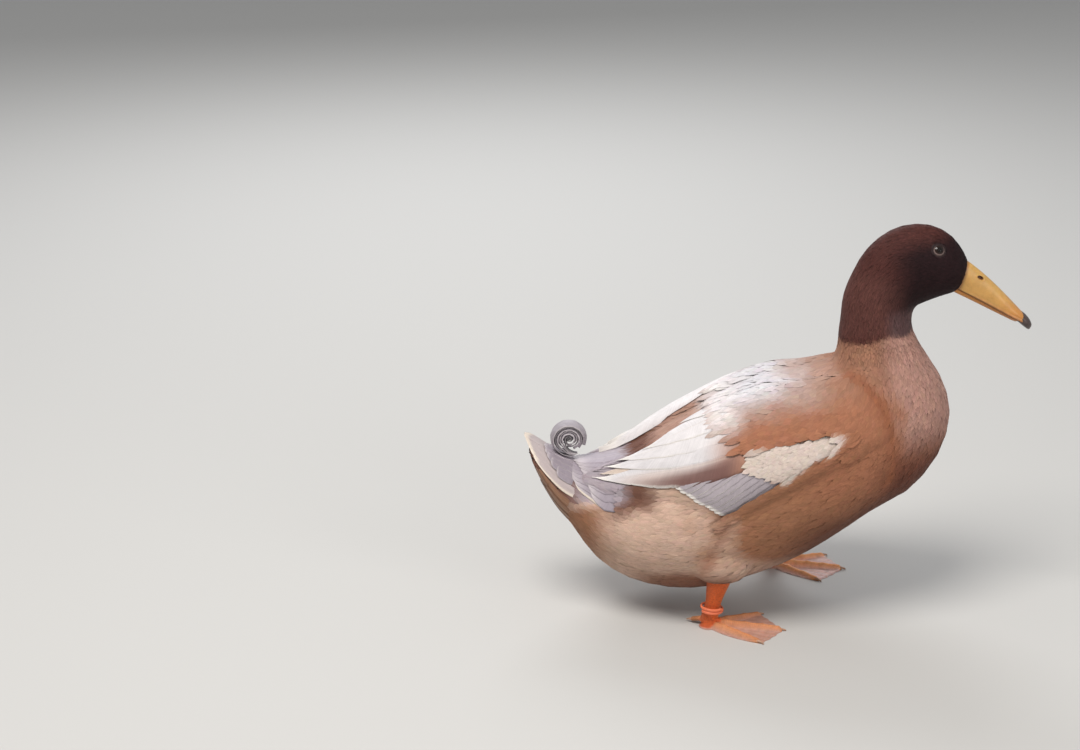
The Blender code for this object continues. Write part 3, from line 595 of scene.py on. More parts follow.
# %% [markdown]
# ## Plumage colours
# This is a buff drake: chocolate head, paler below with a ring where the dark ends, salmon
# breast, warm buff sides that fade to tan behind, cream over the shoulders and a red-brown
# rump. Real plumage has no hard steps, so each zone is a tint laid on with a soft mask.
# The same function colours the skin and every feather, so that no gap shows.

# %% Tints of the coat, as linear colours
SIDE_BUFF = (0.35, 0.16, 0.085)
SHOULDER_BUFF = (0.35, 0.145, 0.078)
BREAST_SALMON = (0.43, 0.238, 0.188)
# Painted shade: the lower breast, which falls in shade
LOW_BREAST_PAINTED_SHADE = (0.15, 0.048, 0.027)
NECK_BUFF = (0.275, 0.13, 0.082)
REAR_TAN = (0.63, 0.43, 0.33)
BELLY_TAN = (0.52, 0.35, 0.265)
MANTLE_CREAM = (0.41, 0.305, 0.26)
SCAPULAR_CREAM = (0.39, 0.25, 0.2)
SCAPULAR_TAN = (0.33, 0.16, 0.1)
SCAPULAR_WHITE = (0.64, 0.62, 0.65)
SCAPULAR_ORANGE = (0.35, 0.145, 0.08)
SCAPULAR_REAR = (0.74, 0.68, 0.67)
# Painted shade in the crease before the wing
CREASE_PAINTED_SHADE = (0.27, 0.095, 0.045)
FLANK_SHADE = (0.28, 0.12, 0.07)
RUMP_BROWN = (0.4, 0.235, 0.18)
RUMP_LILAC = (0.385, 0.325, 0.355)
UNDER_SHADE = (0.1, 0.03, 0.015)
VENT_SHADE = (0.19, 0.068, 0.033)
VENT_BUFF = (0.29, 0.135, 0.072)
# Painted shade in the gap under the wing's tip, behind the flank
GAP_PAINTED_SHADE = (0.11, 0.036, 0.02)
TAIL_SHADE = (0.17, 0.08, 0.058)
CROWN_BROWN = (0.068, 0.02, 0.016)
NAPE_BROWN = (0.098, 0.036, 0.029)
FACE_BLACK = (0.016, 0.005, 0.006)
# A painted sheen, lilac, at the base of the throat
THROAT_PAINTED_SHEEN = (0.1, 0.056, 0.056)
RING_BROWN = (0.08, 0.026, 0.02)
# Height of the lower edge of the dark head, from the back of the neck to its front, in mm
DARK_EDGE = np.array([(45, 266), (57, 266.5), (80, 271.5), (99, 277.0), (121, 277.0), (140, 277)])
print("sides", SIDE_BUFF, "and breast", BREAST_SALMON)

# %% [markdown]
# ## Lines and a patch on the shoulder
# Two lines matter to the eye: the crease where neck and breast meet the wing, and the edge
# where the front flank's feathers lie over the rear ones. Painted shade, a dim warm tint along
# each, lets it read as a fold. A patch of cream coverts lies at the wing's bend.

# %% Crease, flank edge and coverts
# The crease before the wing, and the edge where the front flank lies over the rear, as x and angle
CREASE = np.array([(0.06, 68), (0.069, 62), (0.0894, 45), (0.1018, 22), (0.1047, 1), (0.098, -14)])
FLANK_EDGE = np.array([(-0.054, 4), (-0.0617, -12), (-0.0694, -23), (-0.0754, -32), (-0.08, -42)])


def from_line(x, angle, line):
    """Distance from a line given as x and angle, in metres, and on which side: tailwards is positive."""
    spots = np.stack([line[:, 0], np.radians(line[:, 1]) * BODY_RADIUS * MM], -1)
    here = np.stack([x, np.radians(angle) * BODY_RADIUS * MM], -1)
    best = np.full(len(x), 9.0)
    sign = np.ones(len(x))
    for a, b in zip(spots, spots[1:]):
        run = b - a
        f = np.clip(((here - a) @ run) / (run @ run), 0, 1)
        off = here - (a + f[:, None] * run)
        gap = np.linalg.norm(off, axis=1)
        closer = gap < best
        best = np.where(closer, gap, best)
        sign = np.where(closer, np.sign(run[0] * off[:, 1] - run[1] * off[:, 0]), sign)
    return best, sign


# The cream coverts at the wing's bend, as angles at every x: the lower edge of their roots, the
# lower edge of their tint, and the upper edge of both
COVERT_X = (-0.04, -0.024, 0.0, 0.009, 0.025, 0.044, 0.06)
COVERT_LOW = (29.5, 22.0, 15.5, 17.5, 20.0, 23.0, 30.5)
COVERT_UNDER = (22.0, 16.5, 14.5, 17.0, 20.0, 23.0, 30.5)
COVERT_TOP = (33.5, 35.0, 34.2, 33.2, 33.0, 32.6, 32.4)
COVERT_CREAM = (0.65, 0.545, 0.48)


def shoulder_colours(colour, x, angle, soft):
    """The feathers over the shoulder and wing roots, laid over the body's own colours."""
    here = fade(angle + 3 * soft, 30, 38) * fade(x, 0.096, 0.078) * fade(-x, 0.085, 0.06)
    above = plain(SCAPULAR_CREAM, len(x))
    above = tinted(above, SCAPULAR_TAN, fade(x + 0.01 * soft, 0.018, 0.058))
    high = fade(angle + 4 * soft, 54, 74)
    above = tinted(above, SCAPULAR_WHITE, 0.9 * fade(-x + 0.012 * soft, -0.03, 0.015) * high)
    low = fade(angle + 5 * soft, 60, 42)
    above = tinted(above, SCAPULAR_ORANGE, fade(x + 0.01 * soft, -0.08, -0.04) * low)
    middle = fade(angle + 4 * soft, 44, 58)
    above = tinted(above, SCAPULAR_REAR, 0.9 * fade(-x + 0.01 * soft, 0.03, 0.058) * middle)
    colour = colour * (1 - here[:, None]) + above * here[:, None]
    low, top = (np.interp(x, COVERT_X, edge) for edge in (COVERT_UNDER, COVERT_TOP))
    covert = fade(angle + 3 * soft, low - 1.6, low + 1.2) * fade(angle + 2 * soft, top + 1.6, top - 0.4)
    covert = covert * fade(x + 0.004 * soft, 0.06, 0.046) * fade(-x, 0.05, 0.04)
    colour = tinted(colour, COVERT_CREAM, 0.95 * covert)
    # Painted shade along the crease, and along the flank's edge, fuller on its tailward side
    gap, _ = from_line(x, angle, CREASE)
    colour = tinted(colour, CREASE_PAINTED_SHADE, 0.75 * bell(gap, 0, 0.006) * fade(x, 0.106, 0.1))
    gap, side = from_line(x, angle, FLANK_EDGE)
    return tinted(colour, FLANK_SHADE, 0.55 * bell(gap, 0, 0.006) * np.where(side > 0, 1.0, 0.5))


print("the cream coverts reach from x", COVERT_X[0], "to", COVERT_X[-1], "m")

# %% [markdown]
# ## The whole coat's colour
# Zones are laid one over another, the wide ones first and the dark head last. A slow noise
# shifts every border, so that none is a straight line. The under parts have shade painted in,
# since the real drake stands over dark ground and this one over a pale floor.

# %% Colour at any point of the coat


def plumage(points, seed=3):
    """The coat's colour at any points near the skin."""
    x, y, z = points.T
    angle = np.degrees(np.arctan2(z - axis_height(x), np.abs(y)))
    soft = wander(points, 0.03, seed) * 0.5
    colour = plain(SIDE_BUFF, len(points))
    colour = tinted(colour, SHOULDER_BUFF, fade(x, -0.02, 0.06) * fade(z, 0.1, 0.15))
    rear = fade(-x + soft * 0.03, 0.03, 0.1)
    colour = tinted(colour, REAR_TAN, rear * fade(z + soft * 0.02, 0.2, 0.13))
    colour = tinted(colour, BELLY_TAN, fade(-z - 0.1 * x + soft * 0.02, -0.085, -0.045))
    colour = tinted(colour, NECK_BUFF, fade(z, 0.22, 0.248))
    on_neck = 0.028 * fade(z, 0.2, 0.24)
    breast = fade(x + 0.012 * soft, 0.1 - on_neck, 0.122)
    colour = tinted(colour, BREAST_SALMON, breast * fade(z, 0.15, 0.19))
    # Painted shade over the lower breast
    colour = tinted(colour, LOW_BREAST_PAINTED_SHADE, fade(x, 0.07, 0.115) * fade(z, 0.205, 0.145))
    vent = fade(-x, 0.03, 0.055) * fade(-x, 0.15, 0.11) * fade(-z + 0.004 * soft, -0.062, -0.046)
    colour = tinted(colour, VENT_SHADE, 0.85 * vent)
    colour = tinted(colour, UNDER_SHADE, 0.9 * fade(-angle + 5 * soft, 4, 42) * fade(x, -0.045, 0.045))
    back = fade(angle + 6 * soft, 60, 70) * fade(x, 0.074, 0.045) * fade(z, 0.275, 0.245)
    colour = tinted(colour, MANTLE_CREAM, back * fade(x + soft * 0.02, -0.075, -0.05))
    colour = tinted(colour, RUMP_BROWN, fade(angle, 58, 66) * fade(-x + soft * 0.02, 0.062, 0.08))
    # Painted shade in the gap under the wing's tip
    gap = fade(-x + 0.004 * soft, 0.11, 0.132) * fade(angle + 6 * soft, 8, 26) * fade(-x, 0.172, 0.15)
    colour = tinted(colour, GAP_PAINTED_SHADE, 0.9 * gap)
    grey_from = angle + 4 * soft - 8 * fade(-x, 0.156, 0.172)
    colour = tinted(colour, RUMP_LILAC, fade(-x + 0.004 * soft, 0.14, 0.152) * fade(grey_from, 24, 33))
    behind = fade(-x, 0.15, 0.185) * fade(angle, 34, 24)
    colour = tinted(colour, VENT_BUFF, behind * fade(z, 0.17, 0.12))
    over_tail = fade(z + 0.55 * x + 0.006 * soft, -0.01, 0.012)
    colour = tinted(colour, TAIL_SHADE, fade(-x, 0.18, 0.205) * over_tail)
    colour = shoulder_colours(colour, x, angle, soft)
    edge = through(*DARK_EDGE.T, x / MM) * MM + 0.0013 * wander(points, 0.004, seed + 1)
    dark = fade(z, edge - 0.0024, edge + 0.003)
    head = plain(NAPE_BROWN, len(points))
    head = tinted(head, CROWN_BROWN, fade(z + 0.2 * x, 0.335, 0.362))
    below_crown = fade(z - 0.22 * (x - 0.12), 0.372, 0.352)
    face = fade(x + 0.004 * soft, 0.084, 0.124) * below_crown * fade(z, 0.29, 0.3)
    head = tinted(head, FACE_BLACK, face)
    # A painted lilac sheen at the throat's base
    throat_sheen = fade(x, 0.09, 0.106) * fade(z, 0.306, 0.292)
    head = tinted(head, THROAT_PAINTED_SHEEN, 0.85 * throat_sheen)
    head = tinted(head, RING_BROWN, 0.7 * fade(z, edge + 0.01, edge + 0.002) * fade(x, 0.103, 0.092))
    return colour * (1 - dark[:, None]) + head * dark[:, None]


print("colour on the crown:", plumage(np.array([[0.12, 0.0, 0.375]]))[0].round(3))

# %% [markdown]
# ## The barbs of a feather, as a shared effect
# A feather is a shaft with fine barbs to each side. From a step away one sees soft streaks
# along the feather and, close to, the slanted lines of the barbs. All feathers share one
# shader group for this. It takes the tint and the place on the feather (along in mm, across
# from -1 to 1, and a number of its own), and gives a colour and a height.

# %% Short words for nodes


def new_group(name, inputs, outputs):
    """An empty shader node group with named sockets."""
    group = bpy.data.node_groups.new(name, "ShaderNodeTree")
    for label, kind, value in inputs:
        socket = group.interface.new_socket(label, in_out="INPUT", socket_type=kind)
        if value is not None:
            socket.default_value = value
    for label, kind in outputs:
        group.interface.new_socket(label, in_out="OUTPUT", socket_type=kind)
    start = group.nodes.new("NodeGroupInput")
    end = group.nodes.new("NodeGroupOutput")
    return group, start, end


class Wiring:
    """Short words for adding and joining nodes."""

    def __init__(self, tree):
        self.tree = tree

    def node(self, kind, **settings):
        made = self.tree.nodes.new(kind)
        for key, value in settings.items():
            setattr(made, key, value)
        return made

    def put(self, socket, value):
        if isinstance(value, bpy.types.NodeSocket):
            self.tree.links.new(value, socket)
        else:
            socket.default_value = value

    def math(self, operation, *values):
        made = self.node("ShaderNodeMath", operation=operation)
        for socket, value in zip(made.inputs, values):
            self.put(socket, value)
        return made.outputs[0]

    def times(self, a, b):
        return self.math("MULTIPLY", a, b)

    def plus(self, a, b):
        return self.math("ADD", a, b)

    def ranged(self, value, low, high, new_low, new_high):
        made = self.node("ShaderNodeMapRange")
        for label, given in (("Value", value), ("From Min", low), ("From Max", high),
                             ("To Min", new_low), ("To Max", new_high)):
            self.put(made.inputs[label], given)
        return made.outputs["Result"]

    def noise(self, vector, scale, detail=2.0, rough=0.5):
        made = self.node("ShaderNodeTexNoise")
        self.put(made.inputs["Vector"], vector)
        self.put(made.inputs["Scale"], scale)
        made.inputs["Detail"].default_value = detail
        made.inputs["Roughness"].default_value = rough
        return made.outputs["Fac"]

    def mixed(self, share, a, b):
        made = self.node("ShaderNodeMix", data_type="RGBA")
        self.put(made.inputs[0], share)
        self.put(made.inputs[6], a)
        self.put(made.inputs[7], b)
        return made.outputs[2]

    def vector(self, x, y, z):
        made = self.node("ShaderNodeCombineXYZ")
        for socket, value in zip(made.inputs, (x, y, z)):
            self.put(socket, value)
        return made.outputs[0]


print("short words:", [word for word in vars(Wiring) if word[0] != "_"])

# %% [markdown]
# ## Inside the barb group
# Two noises make the effect. A slow one, drawn out along the feather, gives soft streaks, and
# a fine one, slanted outwards from the shaft, gives the barbs. Both change colour and height.

# %% The group for barbs


def barb_group():
    """Streaks and slanted barbs on a feather, with a shaft down its middle."""
    group, start, end = new_group(
        "feather_barbs",
        [("Tint", "NodeSocketColor", None), ("Place", "NodeSocketVector", None),
         ("Streak", "NodeSocketFloat", 0.25), ("Barb Width", "NodeSocketFloat", 0.5),
         ("Barb Depth", "NodeSocketFloat", 0.3), ("Shaft", "NodeSocketFloat", 0.0)],
        [("Color", "NodeSocketColor"), ("Height", "NodeSocketFloat")])
    w = Wiring(group)
    parts = w.node("ShaderNodeSeparateXYZ")
    w.put(parts.inputs[0], start.outputs["Place"])
    along, across, own = parts.outputs
    out = w.math("ABSOLUTE", across)
    slant = w.math("SUBTRACT", along, w.times(out, 5.0))
    streak = w.noise(w.vector(w.times(slant, 0.1), w.times(across, 1.7),
                              w.times(own, 53.0)), 1.0, 4.0, 0.62)
    gain = w.times(w.ranged(streak, 0.3, 0.7, -1.0, 1.0), start.outputs["Streak"])
    lines = w.noise(w.vector(w.math("DIVIDE", slant, start.outputs["Barb Width"]),
                             w.times(across, 0.4), w.times(own, 31.0)), 1.0, 1.0, 0.5)
    fine = w.ranged(lines, 0.3, 0.7, -1.0, 1.0)
    shaft = w.times(w.ranged(out, 0.02, 0.07, 1.0, 0.0), start.outputs["Shaft"])
    barb_tint = w.times(fine, w.times(0.18, start.outputs["Barb Depth"]))
    total = w.plus(w.plus(1.0, gain), barb_tint)
    scaled = w.node("ShaderNodeVectorMath", operation="SCALE")
    w.put(scaled.inputs[0], start.outputs["Tint"])
    w.put(scaled.inputs["Scale"], total)
    w.put(end.inputs["Color"], w.mixed(w.times(shaft, 0.5), scaled.outputs[0], (0.62, 0.52, 0.42, 1)))
    relief = w.plus(w.times(gain, 0.6), w.times(shaft, 2.0))
    w.put(end.inputs["Height"], w.plus(w.times(fine, start.outputs["Barb Depth"]), relief))
    return group


barbs = barb_group()
print("group:", barbs.name, "with", len(barbs.interface.items_tree), "sockets")

# %% [markdown]
# ## A finish around a group
# Every material holds one of the shared groups with its own values, and reads the piece's
# tint from its points. The group's height goes through a bump node, whose distance is the
# depth of the real relief in metres.

# %% Finishes of the small feathers


def material_with_group(name, group, values, roughness, bump, settings=None):
    """A Principled material that takes colour and bump from a shared group, and its roughness too
    where the group gives one."""
    material = bpy.data.materials.new(name)
    material.use_nodes = True
    w = Wiring(material.node_tree)
    shader = material.node_tree.nodes["Principled BSDF"]
    tint = w.node("ShaderNodeAttribute", attribute_name="tint")
    effect = w.node("ShaderNodeGroup", node_tree=group)
    w.put(effect.inputs["Tint"], tint.outputs["Color"])
    place = w.node("ShaderNodeAttribute", attribute_name="place")
    w.put(effect.inputs["Place"], place.outputs["Vector"])
    for label, value in values.items():
        effect.inputs[label].default_value = value
    w.put(shader.inputs["Base Color"], effect.outputs["Color"])
    if "Roughness" in effect.outputs:
        w.put(shader.inputs["Roughness"], effect.outputs["Roughness"])
    else:
        shader.inputs["Roughness"].default_value = roughness
    relief = w.node("ShaderNodeBump")
    relief.inputs["Strength"].default_value = 1.0
    relief.inputs["Distance"].default_value = bump
    w.put(relief.inputs["Height"], effect.outputs["Height"])
    w.put(shader.inputs["Normal"], relief.outputs["Normal"])
    for label, value in (settings or {}).items():
        shader.inputs[label].default_value = value
    return material


coat_finish = material_with_group(
    "small_feathers", barbs, {"Streak": 0.12, "Barb Width": 0.42, "Barb Depth": 0.3}, 0.75, 0.0001,
    {"Sheen Weight": 0.05, "Sheen Roughness": 0.5, "Specular IOR Level": 0.18})
head_finish = material_with_group(
    "short_head_feathers", barbs, {"Streak": 0.4, "Barb Width": 0.3, "Barb Depth": 0.4}, 0.62, 0.00008,
    {"Sheen Weight": 0.02, "Sheen Roughness": 0.35, "Specular IOR Level": 0.16})
print("feather finishes:", coat_finish.name, head_finish.name)

# %% [markdown]
# ## The skin
# The skin lies under the coat's surface by half a millimetre on the body and by less on the
# face, where a bird's feathers are shortest. It carries the coat's colours, a little darker.

# %% Skin
BODY_COAT, NECK_COAT, HEAD_COAT = 0.5 * MM, 0.42 * MM, 0.34 * MM
EYE_RADIUS, EYE_BED, EYE_BARE = 7.0 * MM, 1.2 * MM, 7.8 * MM
SKIN_SHADE = 0.93


def eye_centres():
    """The middle of each eyeball, read from the solids."""
    found = []
    for node in ("eye_right", "eye_left"):
        low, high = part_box(node)
        found.append((np.array(low) + np.array(high)) / 2)
    return np.array(found)


eyes = eye_centres()


def coat_depth(points):
    """How deep the skin lies under the coat at every point."""
    neck = fade(points[:, 2], 0.235, 0.262)
    head = fade(points[:, 2], 0.27, 0.3)
    return BODY_COAT + (NECK_COAT - BODY_COAT) * neck + (HEAD_COAT - NECK_COAT) * head


def make_skin():
    points = outer.points - outer.normals * coat_depth(outer.points)[:, None]
    for centre in eyes:
        away = points - centre
        gap = np.linalg.norm(away, axis=1)
        bed = EYE_RADIUS + EYE_BED
        sink = np.clip(bed - gap, 0, None) + 0.5 * EYE_BED * (gap < bed)
        points = points - np.array([0, np.sign(centre[1]), 0]) * (sink * 2.0)[:, None]
    skin = mesh_of("skin", points, [outer.quads])
    give_tint(skin, plumage(outer.points) * SKIN_SHADE)
    along, round_it = chart(outer.points).T
    give_values(skin, "place", stacked(along * 480, round_it * 60, 0.3))
    return finished(skin, coat_finish, FLESH)


make_skin()

# %% [markdown]
# ## Small feathers
# Each small feather is a thin closed blade: a crowned upper face of four strips and a flat
# lower face, 56 triangles in all. Thousands are set out by
# throwing darts at the skin: a dart that lands too near another is taken back, so the roots
# are evenly spread but never in rows. Every blade then walks over the surface along the lie,
# so it bends with the body, and rises from the skin to lie over the next ones.

# %% Where feathers grow


def quad_areas(points, quads):
    return np.linalg.norm(np.cross(points[quads[:, 2]] - points[quads[:, 0]],
                                   points[quads[:, 3]] - points[quads[:, 1]]), axis=1) / 2


def spacing(points):
    """The gap between roots: smallest on the face, largest on the sides and rump."""
    x, y, z = points.T
    gap = 3.2 + 0 * x
    gap = gap - 0.5 * fade(x, 0.05, 0.12)
    gap = gap - 0.6 * fade(z, 0.225, 0.26)
    gap = gap + (1.75 - gap) * fade(z, 0.262, 0.3)
    gap = gap + (1.45 - gap) * fade(x, 0.1, 0.14) * fade(z, 0.295, 0.31)
    return gap * MM


def scatter(seed, allowed, crowd=7.0):
    """Roots on the outer surface, found by dart throwing."""
    rng = np.random.default_rng(seed)
    areas = quad_areas(outer.points, outer.quads)
    middle = outer.points[outer.quads].mean(1)
    want = areas / spacing(middle) ** 2 * crowd * allowed(middle)
    count = int(want.sum())
    pick = rng.choice(len(areas), count, p=want / want.sum())
    u, v = rng.random((2, count, 1))
    a, b, c, d = (outer.points[outer.quads[pick, k]] for k in range(4))
    darts = (a * (1 - u) + b * u) * (1 - v) + (d * (1 - u) + c * u) * v
    gaps = spacing(darts)
    tree = KDTree(count)
    for i, dart in enumerate(darts.tolist()):
        tree.insert(dart, i)
    tree.balance()
    free = np.ones(count, bool)
    chosen = []
    for i, (dart, gap) in enumerate(zip(darts.tolist(), gaps.tolist())):
        if free[i]:
            chosen.append(i)
            for _, k, _ in tree.find_range(dart, gap):
                free[k] = False
    return outer.nearest(darts[chosen])[0]


print("gaps between roots, in mm:", (spacing(outer.points).min() / MM).round(2), "to",
      (spacing(outer.points).max() / MM).round(2))

# %% [markdown]
# ## One small feather
# The blade is widest past its middle and ends in a round tip. Its rows follow the body's
# surface from root to tip. The shading leans towards the body's own, because real barbs catch
# the light softly and don't show the edge of every feather.

# %% The shape of one small feather
BLADE_ROWS = np.array([0.0, 0.3, 0.54, 0.74, 0.89, 1.0])
BLADE_WIDTHS = np.array([0.46, 0.84, 1.0, 0.9, 0.62, 0.16])
BLADE_COLUMNS = np.array([-1.0, -0.5, 0.0, 0.5, 1.0])
BLADE_CROWN, BLADE_THICK = 0.06, 0.11 * MM
LEAN_TO_BODY = 0.84


def blade_faces(count):
    """The faces of many blades, and which of them are flat (the lower ones)."""
    rows, columns = len(BLADE_ROWS), len(BLADE_COLUMNS)
    last = columns - 1
    top = grid_faces(rows, columns)
    r = np.arange(rows - 1)[:, None] * columns
    low = np.concatenate([r, r + last, r + columns + last, r + columns], 1)
    ends = np.stack([np.arange(columns), (rows - 1) * columns + np.arange(columns)[::-1]])
    shift = (np.arange(count) * rows * columns)[:, None, None]
    quads = np.concatenate([top, low])
    flat = np.r_[np.tile(np.arange(len(quads)) >= len(top), count), np.ones(2 * count, bool)]
    return [(quads[None] + shift).reshape(-1, 4), (ends[None] + shift).reshape(-1, columns)], flat


def walk(places, lengths, turns):
    """Steps from every root over the surface along the lie, turned a little. Gives the rows' frames."""
    rows = []
    spot = places
    for k, q in enumerate(BLADE_ROWS):
        spot, normal = outer.nearest(spot)
        way = lie(spot, normal)
        way = way * np.cos(turns)[:, None] + np.cross(normal, way) * np.sin(turns)[:, None]
        rows.append((spot, normal, way))
        if k + 1 < len(BLADE_ROWS):
            spot = spot + way * (lengths * (BLADE_ROWS[k + 1] - q))[:, None]
    return [np.stack(part, 1) for part in zip(*rows)]


def blades(name, places, lengths, widths, depth, proud, seed, ruffle, softness, material,
           tip_light, lift=0.0):
    """A piece of coat: one blade per root, with colours, feather places and bake map."""
    rng = np.random.default_rng(seed)
    count = len(places)
    spots, normals, ways = walk(places, lengths, rng.normal(0, ruffle, count))
    sides = np.cross(normals, ways)
    q = BLADE_ROWS[None, :, None]
    k = BLADE_COLUMNS[None, None, :]
    half = widths[:, None, None] / 2 * BLADE_WIDTHS[None, :, None]
    rise = depth[:, None, None] * (1 - q) ** 2.3
    own_lift = (rng.uniform(-0.06, 0.06, count) * MM + lift)[:, None, None]
    crown = (BLADE_CROWN * half + BLADE_THICK) * (1 - k**2)
    height = proud[:, None, None] * q + own_lift * fade(q, -0.3, 0.5) - rise + crown
    ragged = rng.uniform(-0.025, 0.025, (count, 1, len(BLADE_COLUMNS)))
    along = lengths[:, None, None] * (ragged * fade(q, 0.6, 1.0) - 0.07 * k**2 * q**2)
    points = (spots[:, :, None] + sides[:, :, None] * (half * k)[..., None]
              + normals[:, :, None] * height[..., None] + ways[:, :, None] * along[..., None])
    faces, flat = blade_faces(count)
    made = mesh_of(name, points.reshape(-1, 3), faces, flat)
    own = rng.random(count)
    light = 1 + (softness * rng.normal(0, 1, count))[:, None, None]
    light = light * (1 + tip_light[:, None, None] * (q - 0.75) * 2)
    light = np.broadcast_to(light, points.shape[:3])
    warm = 1 + 0.014 * rng.normal(0, 1, (count, 1, 3))
    shown = spots[:, np.array([2, 2, 3, 4, 5, 5])].reshape(-1, 3)
    zone = (plumage(shown).reshape(count, -1, 3) * 0.5 + plumage(spots[:, 3])[:, None] * 0.5) * warm
    colours = zone[:, :, None, :] * light[..., None]
    give_tint(made, colours.reshape(-1, 3))
    feather_place = stacked(q * lengths[:, None, None] / MM, k, own[:, None, None])
    give_values(made, "place", feather_place.reshape(-1, 3))
    patch = stacked(0.0015 * k, 0.003 * (q - 0.5))
    on_chart = chart(places)[:, None, None, :] + patch
    give_bake_map(made, np.clip(on_chart, 0, 1).reshape(-1, 2))
    soften(made, np.repeat(normals.reshape(-1, 3), len(BLADE_COLUMNS), 0), LEAN_TO_BODY)
    return finished(made, material)


def soften(made, surface_normals, share):
    """Leans the shading of the blades towards the body's own, as a soft coat shades."""
    count = len(made.data.vertices)
    own = np.empty(count * 3, np.float32)
    made.data.vertices.foreach_get("normal", own)
    mixed = unit(own.reshape(-1, 3) * (1 - share) + surface_normals * share)
    made.data.normals_split_custom_set_from_vertices(mixed.tolist())


print("a blade has", len(BLADE_ROWS), "rows of", len(BLADE_COLUMNS), "points")

# %% [markdown]
# ## Setting the coat
# The roots are sorted along the body, or down the head, and shared out among pieces, so that
# none grows too large. Feathers are long on the sides, short on the nape and where the dark
# head ends, and lighter at their tips on the breast.

# %% Set the small feathers
HEAD_FROM = 0.256


def under_wing_vanes(points):
    """1 where the wing's large feathers hide the skin, with a margin that the coat still covers."""
    x, angle = round_place(points)
    sizes = [through(-WING[:, 0], WING[:, k], -x / MM) for k in (1, 2)]
    inside = (angle > sizes[0] + 8) & (angle < sizes[1] - 10) & (x < 0.03) & (x > -0.168)
    return inside & (points[:, 2] < 0.262)


def on_body(points):
    """Share of the coat that grows at each point: none under the wings, in the eyes or behind the tail."""
    share = 1.0 - under_wing_vanes(points)
    for centre in eyes:
        share = share * (np.linalg.norm(points - centre, axis=1) > EYE_BARE)
    t = fade(-points[:, 0], 0.2325, 0.233)
    hidden = (points[:, 0] < -0.196) & (points[:, 2] > 0.155 + 0.3 * (points[:, 0] + 0.2))
    return share * (1 - t) * (1 - hidden)


roots = scatter(7, on_body)
in_head = roots[:, 2] > HEAD_FROM
print("roots:", len(roots), "of which on head and neck", int(in_head.sum()))


def coat_piece(name, chosen, seed, material):
    spots = roots[chosen]
    gap = spacing(spots) / MM
    rng = np.random.default_rng(seed)
    size = rng.uniform(0.88, 1.14, len(spots))
    breast = fade(spots[:, 0], 0.095, 0.13)
    head = fade(spots[:, 2], 0.262, 0.28)
    lengths = gap * (5.2 - 1.2 * breast + 0.3 * head) * size * MM
    widths = gap * (1.42 + 0.22 * breast - 0.22 * head) * size * MM
    deep = coat_depth(spots)
    x, _, z = spots.T
    nape = bell(x, 0.074, 0.026) * fade(z, 0.205, 0.235) * fade(z, 0.325, 0.29)
    ring = bell(z, 0.272, 0.008)
    lengths = lengths * (1 - 0.42 * nape) * (1 - 0.42 * ring)
    widths = widths * (1 + 0.22 * nape) * (1 - 0.1 * ring)
    proud = (0.17 - 0.03 * head) * (1 - 0.6 * nape) * MM
    softness = 0.045 + 0.035 * breast + 0.02 * head
    tip_light = 0.035 + 0.15 * breast * (1 - head)
    return blades(name, spots, lengths, widths, deep * 1.35, proud, seed, 0.08, softness,
                  material, tip_light)


body_roots = np.flatnonzero(~in_head)
head_roots = np.flatnonzero(in_head)
TRIANGLES_A_BLADE = 56
PIECE_LIMIT = 190000 // TRIANGLES_A_BLADE
coat = []
for label, chosen, axis, material, slot in (
        ("body_coat", body_roots, 0, coat_finish, "body_feathers"),
        ("head_coat", head_roots, 2, head_finish, "head_feathers")):
    chosen = chosen[np.argsort(-roots[chosen, axis], kind="stable")]
    pieces = math.ceil(len(chosen) / PIECE_LIMIT)
    for i, part in enumerate(np.array_split(chosen, pieces)):
        coat.append(coat_piece(f"{label}_{i + 1}", part, 100 + 10 * i + len(coat), material))

# %% [markdown]
# ## Shoulder feathers and flank feathers
# Over the wing's roots lie the shoulder feathers, in soft rows that no eye can part, and below
# the wing the flank's feathers swell up over its front edge, which is how a duck keeps its
# wings dry. Both use the same blades as the coat, longer and lifted over the wing.

# %% Shoulder and flank feathers
# The front and lower edge of the wing, as x and angle
WING_FRONT = np.array([
    (0.063, 31.5), (0.0444, 22.4), (0.0259, 18.6), (0.0094, 15.5), (-0.011, 11.2), (-0.0314, 5.0),
    (-0.0556, -2.5),
])


def shoulder_roots(seed):
    """Places for the shoulder feathers, spread evenly by throwing darts at x and angle."""
    rng = np.random.default_rng(seed)
    tries = rng.uniform((-0.052, 20), (0.104, 90), (9800, 2))
    x, angle = tries.T
    tries = tries[(angle > 35 + 2.5 * fade(x, -0.02, 0.01)) | (x > 0.052 + 0.0006 * (38 - angle))]
    neck_edge = np.interp(tries[:, 1], (1, 22, 45, 62, 68, 90), (0.105, 0.102, 0.089, 0.069, 0.06, 0.046))
    tries = tries[tries[:, 0] < neck_edge + 0.002]
    angle = tries[:, 1]
    rear = -0.02 - 0.03 * fade(angle, 40, 62) + 0.006 * np.sin(angle * 0.9) + 0.004 * np.sin(angle * 2.3)
    tries = tries[tries[:, 0] > rear + rng.uniform(-0.006, 0.006, len(tries))]
    gap = 2.9 + 1.3 * fade(-tries[:, 0], -0.085, -0.03)
    flat = np.stack([tries[:, 0] / MM, np.radians(tries[:, 1]) * BODY_RADIUS], -1)
    kept = []
    for i in range(len(tries)):
        near = flat[kept] - flat[i] if kept else np.full((1, 2), 99.0)
        if (near**2).sum(1).min() > (0.72 * gap[i]) ** 2:
            kept.append(i)
    return tries[kept], gap[kept]


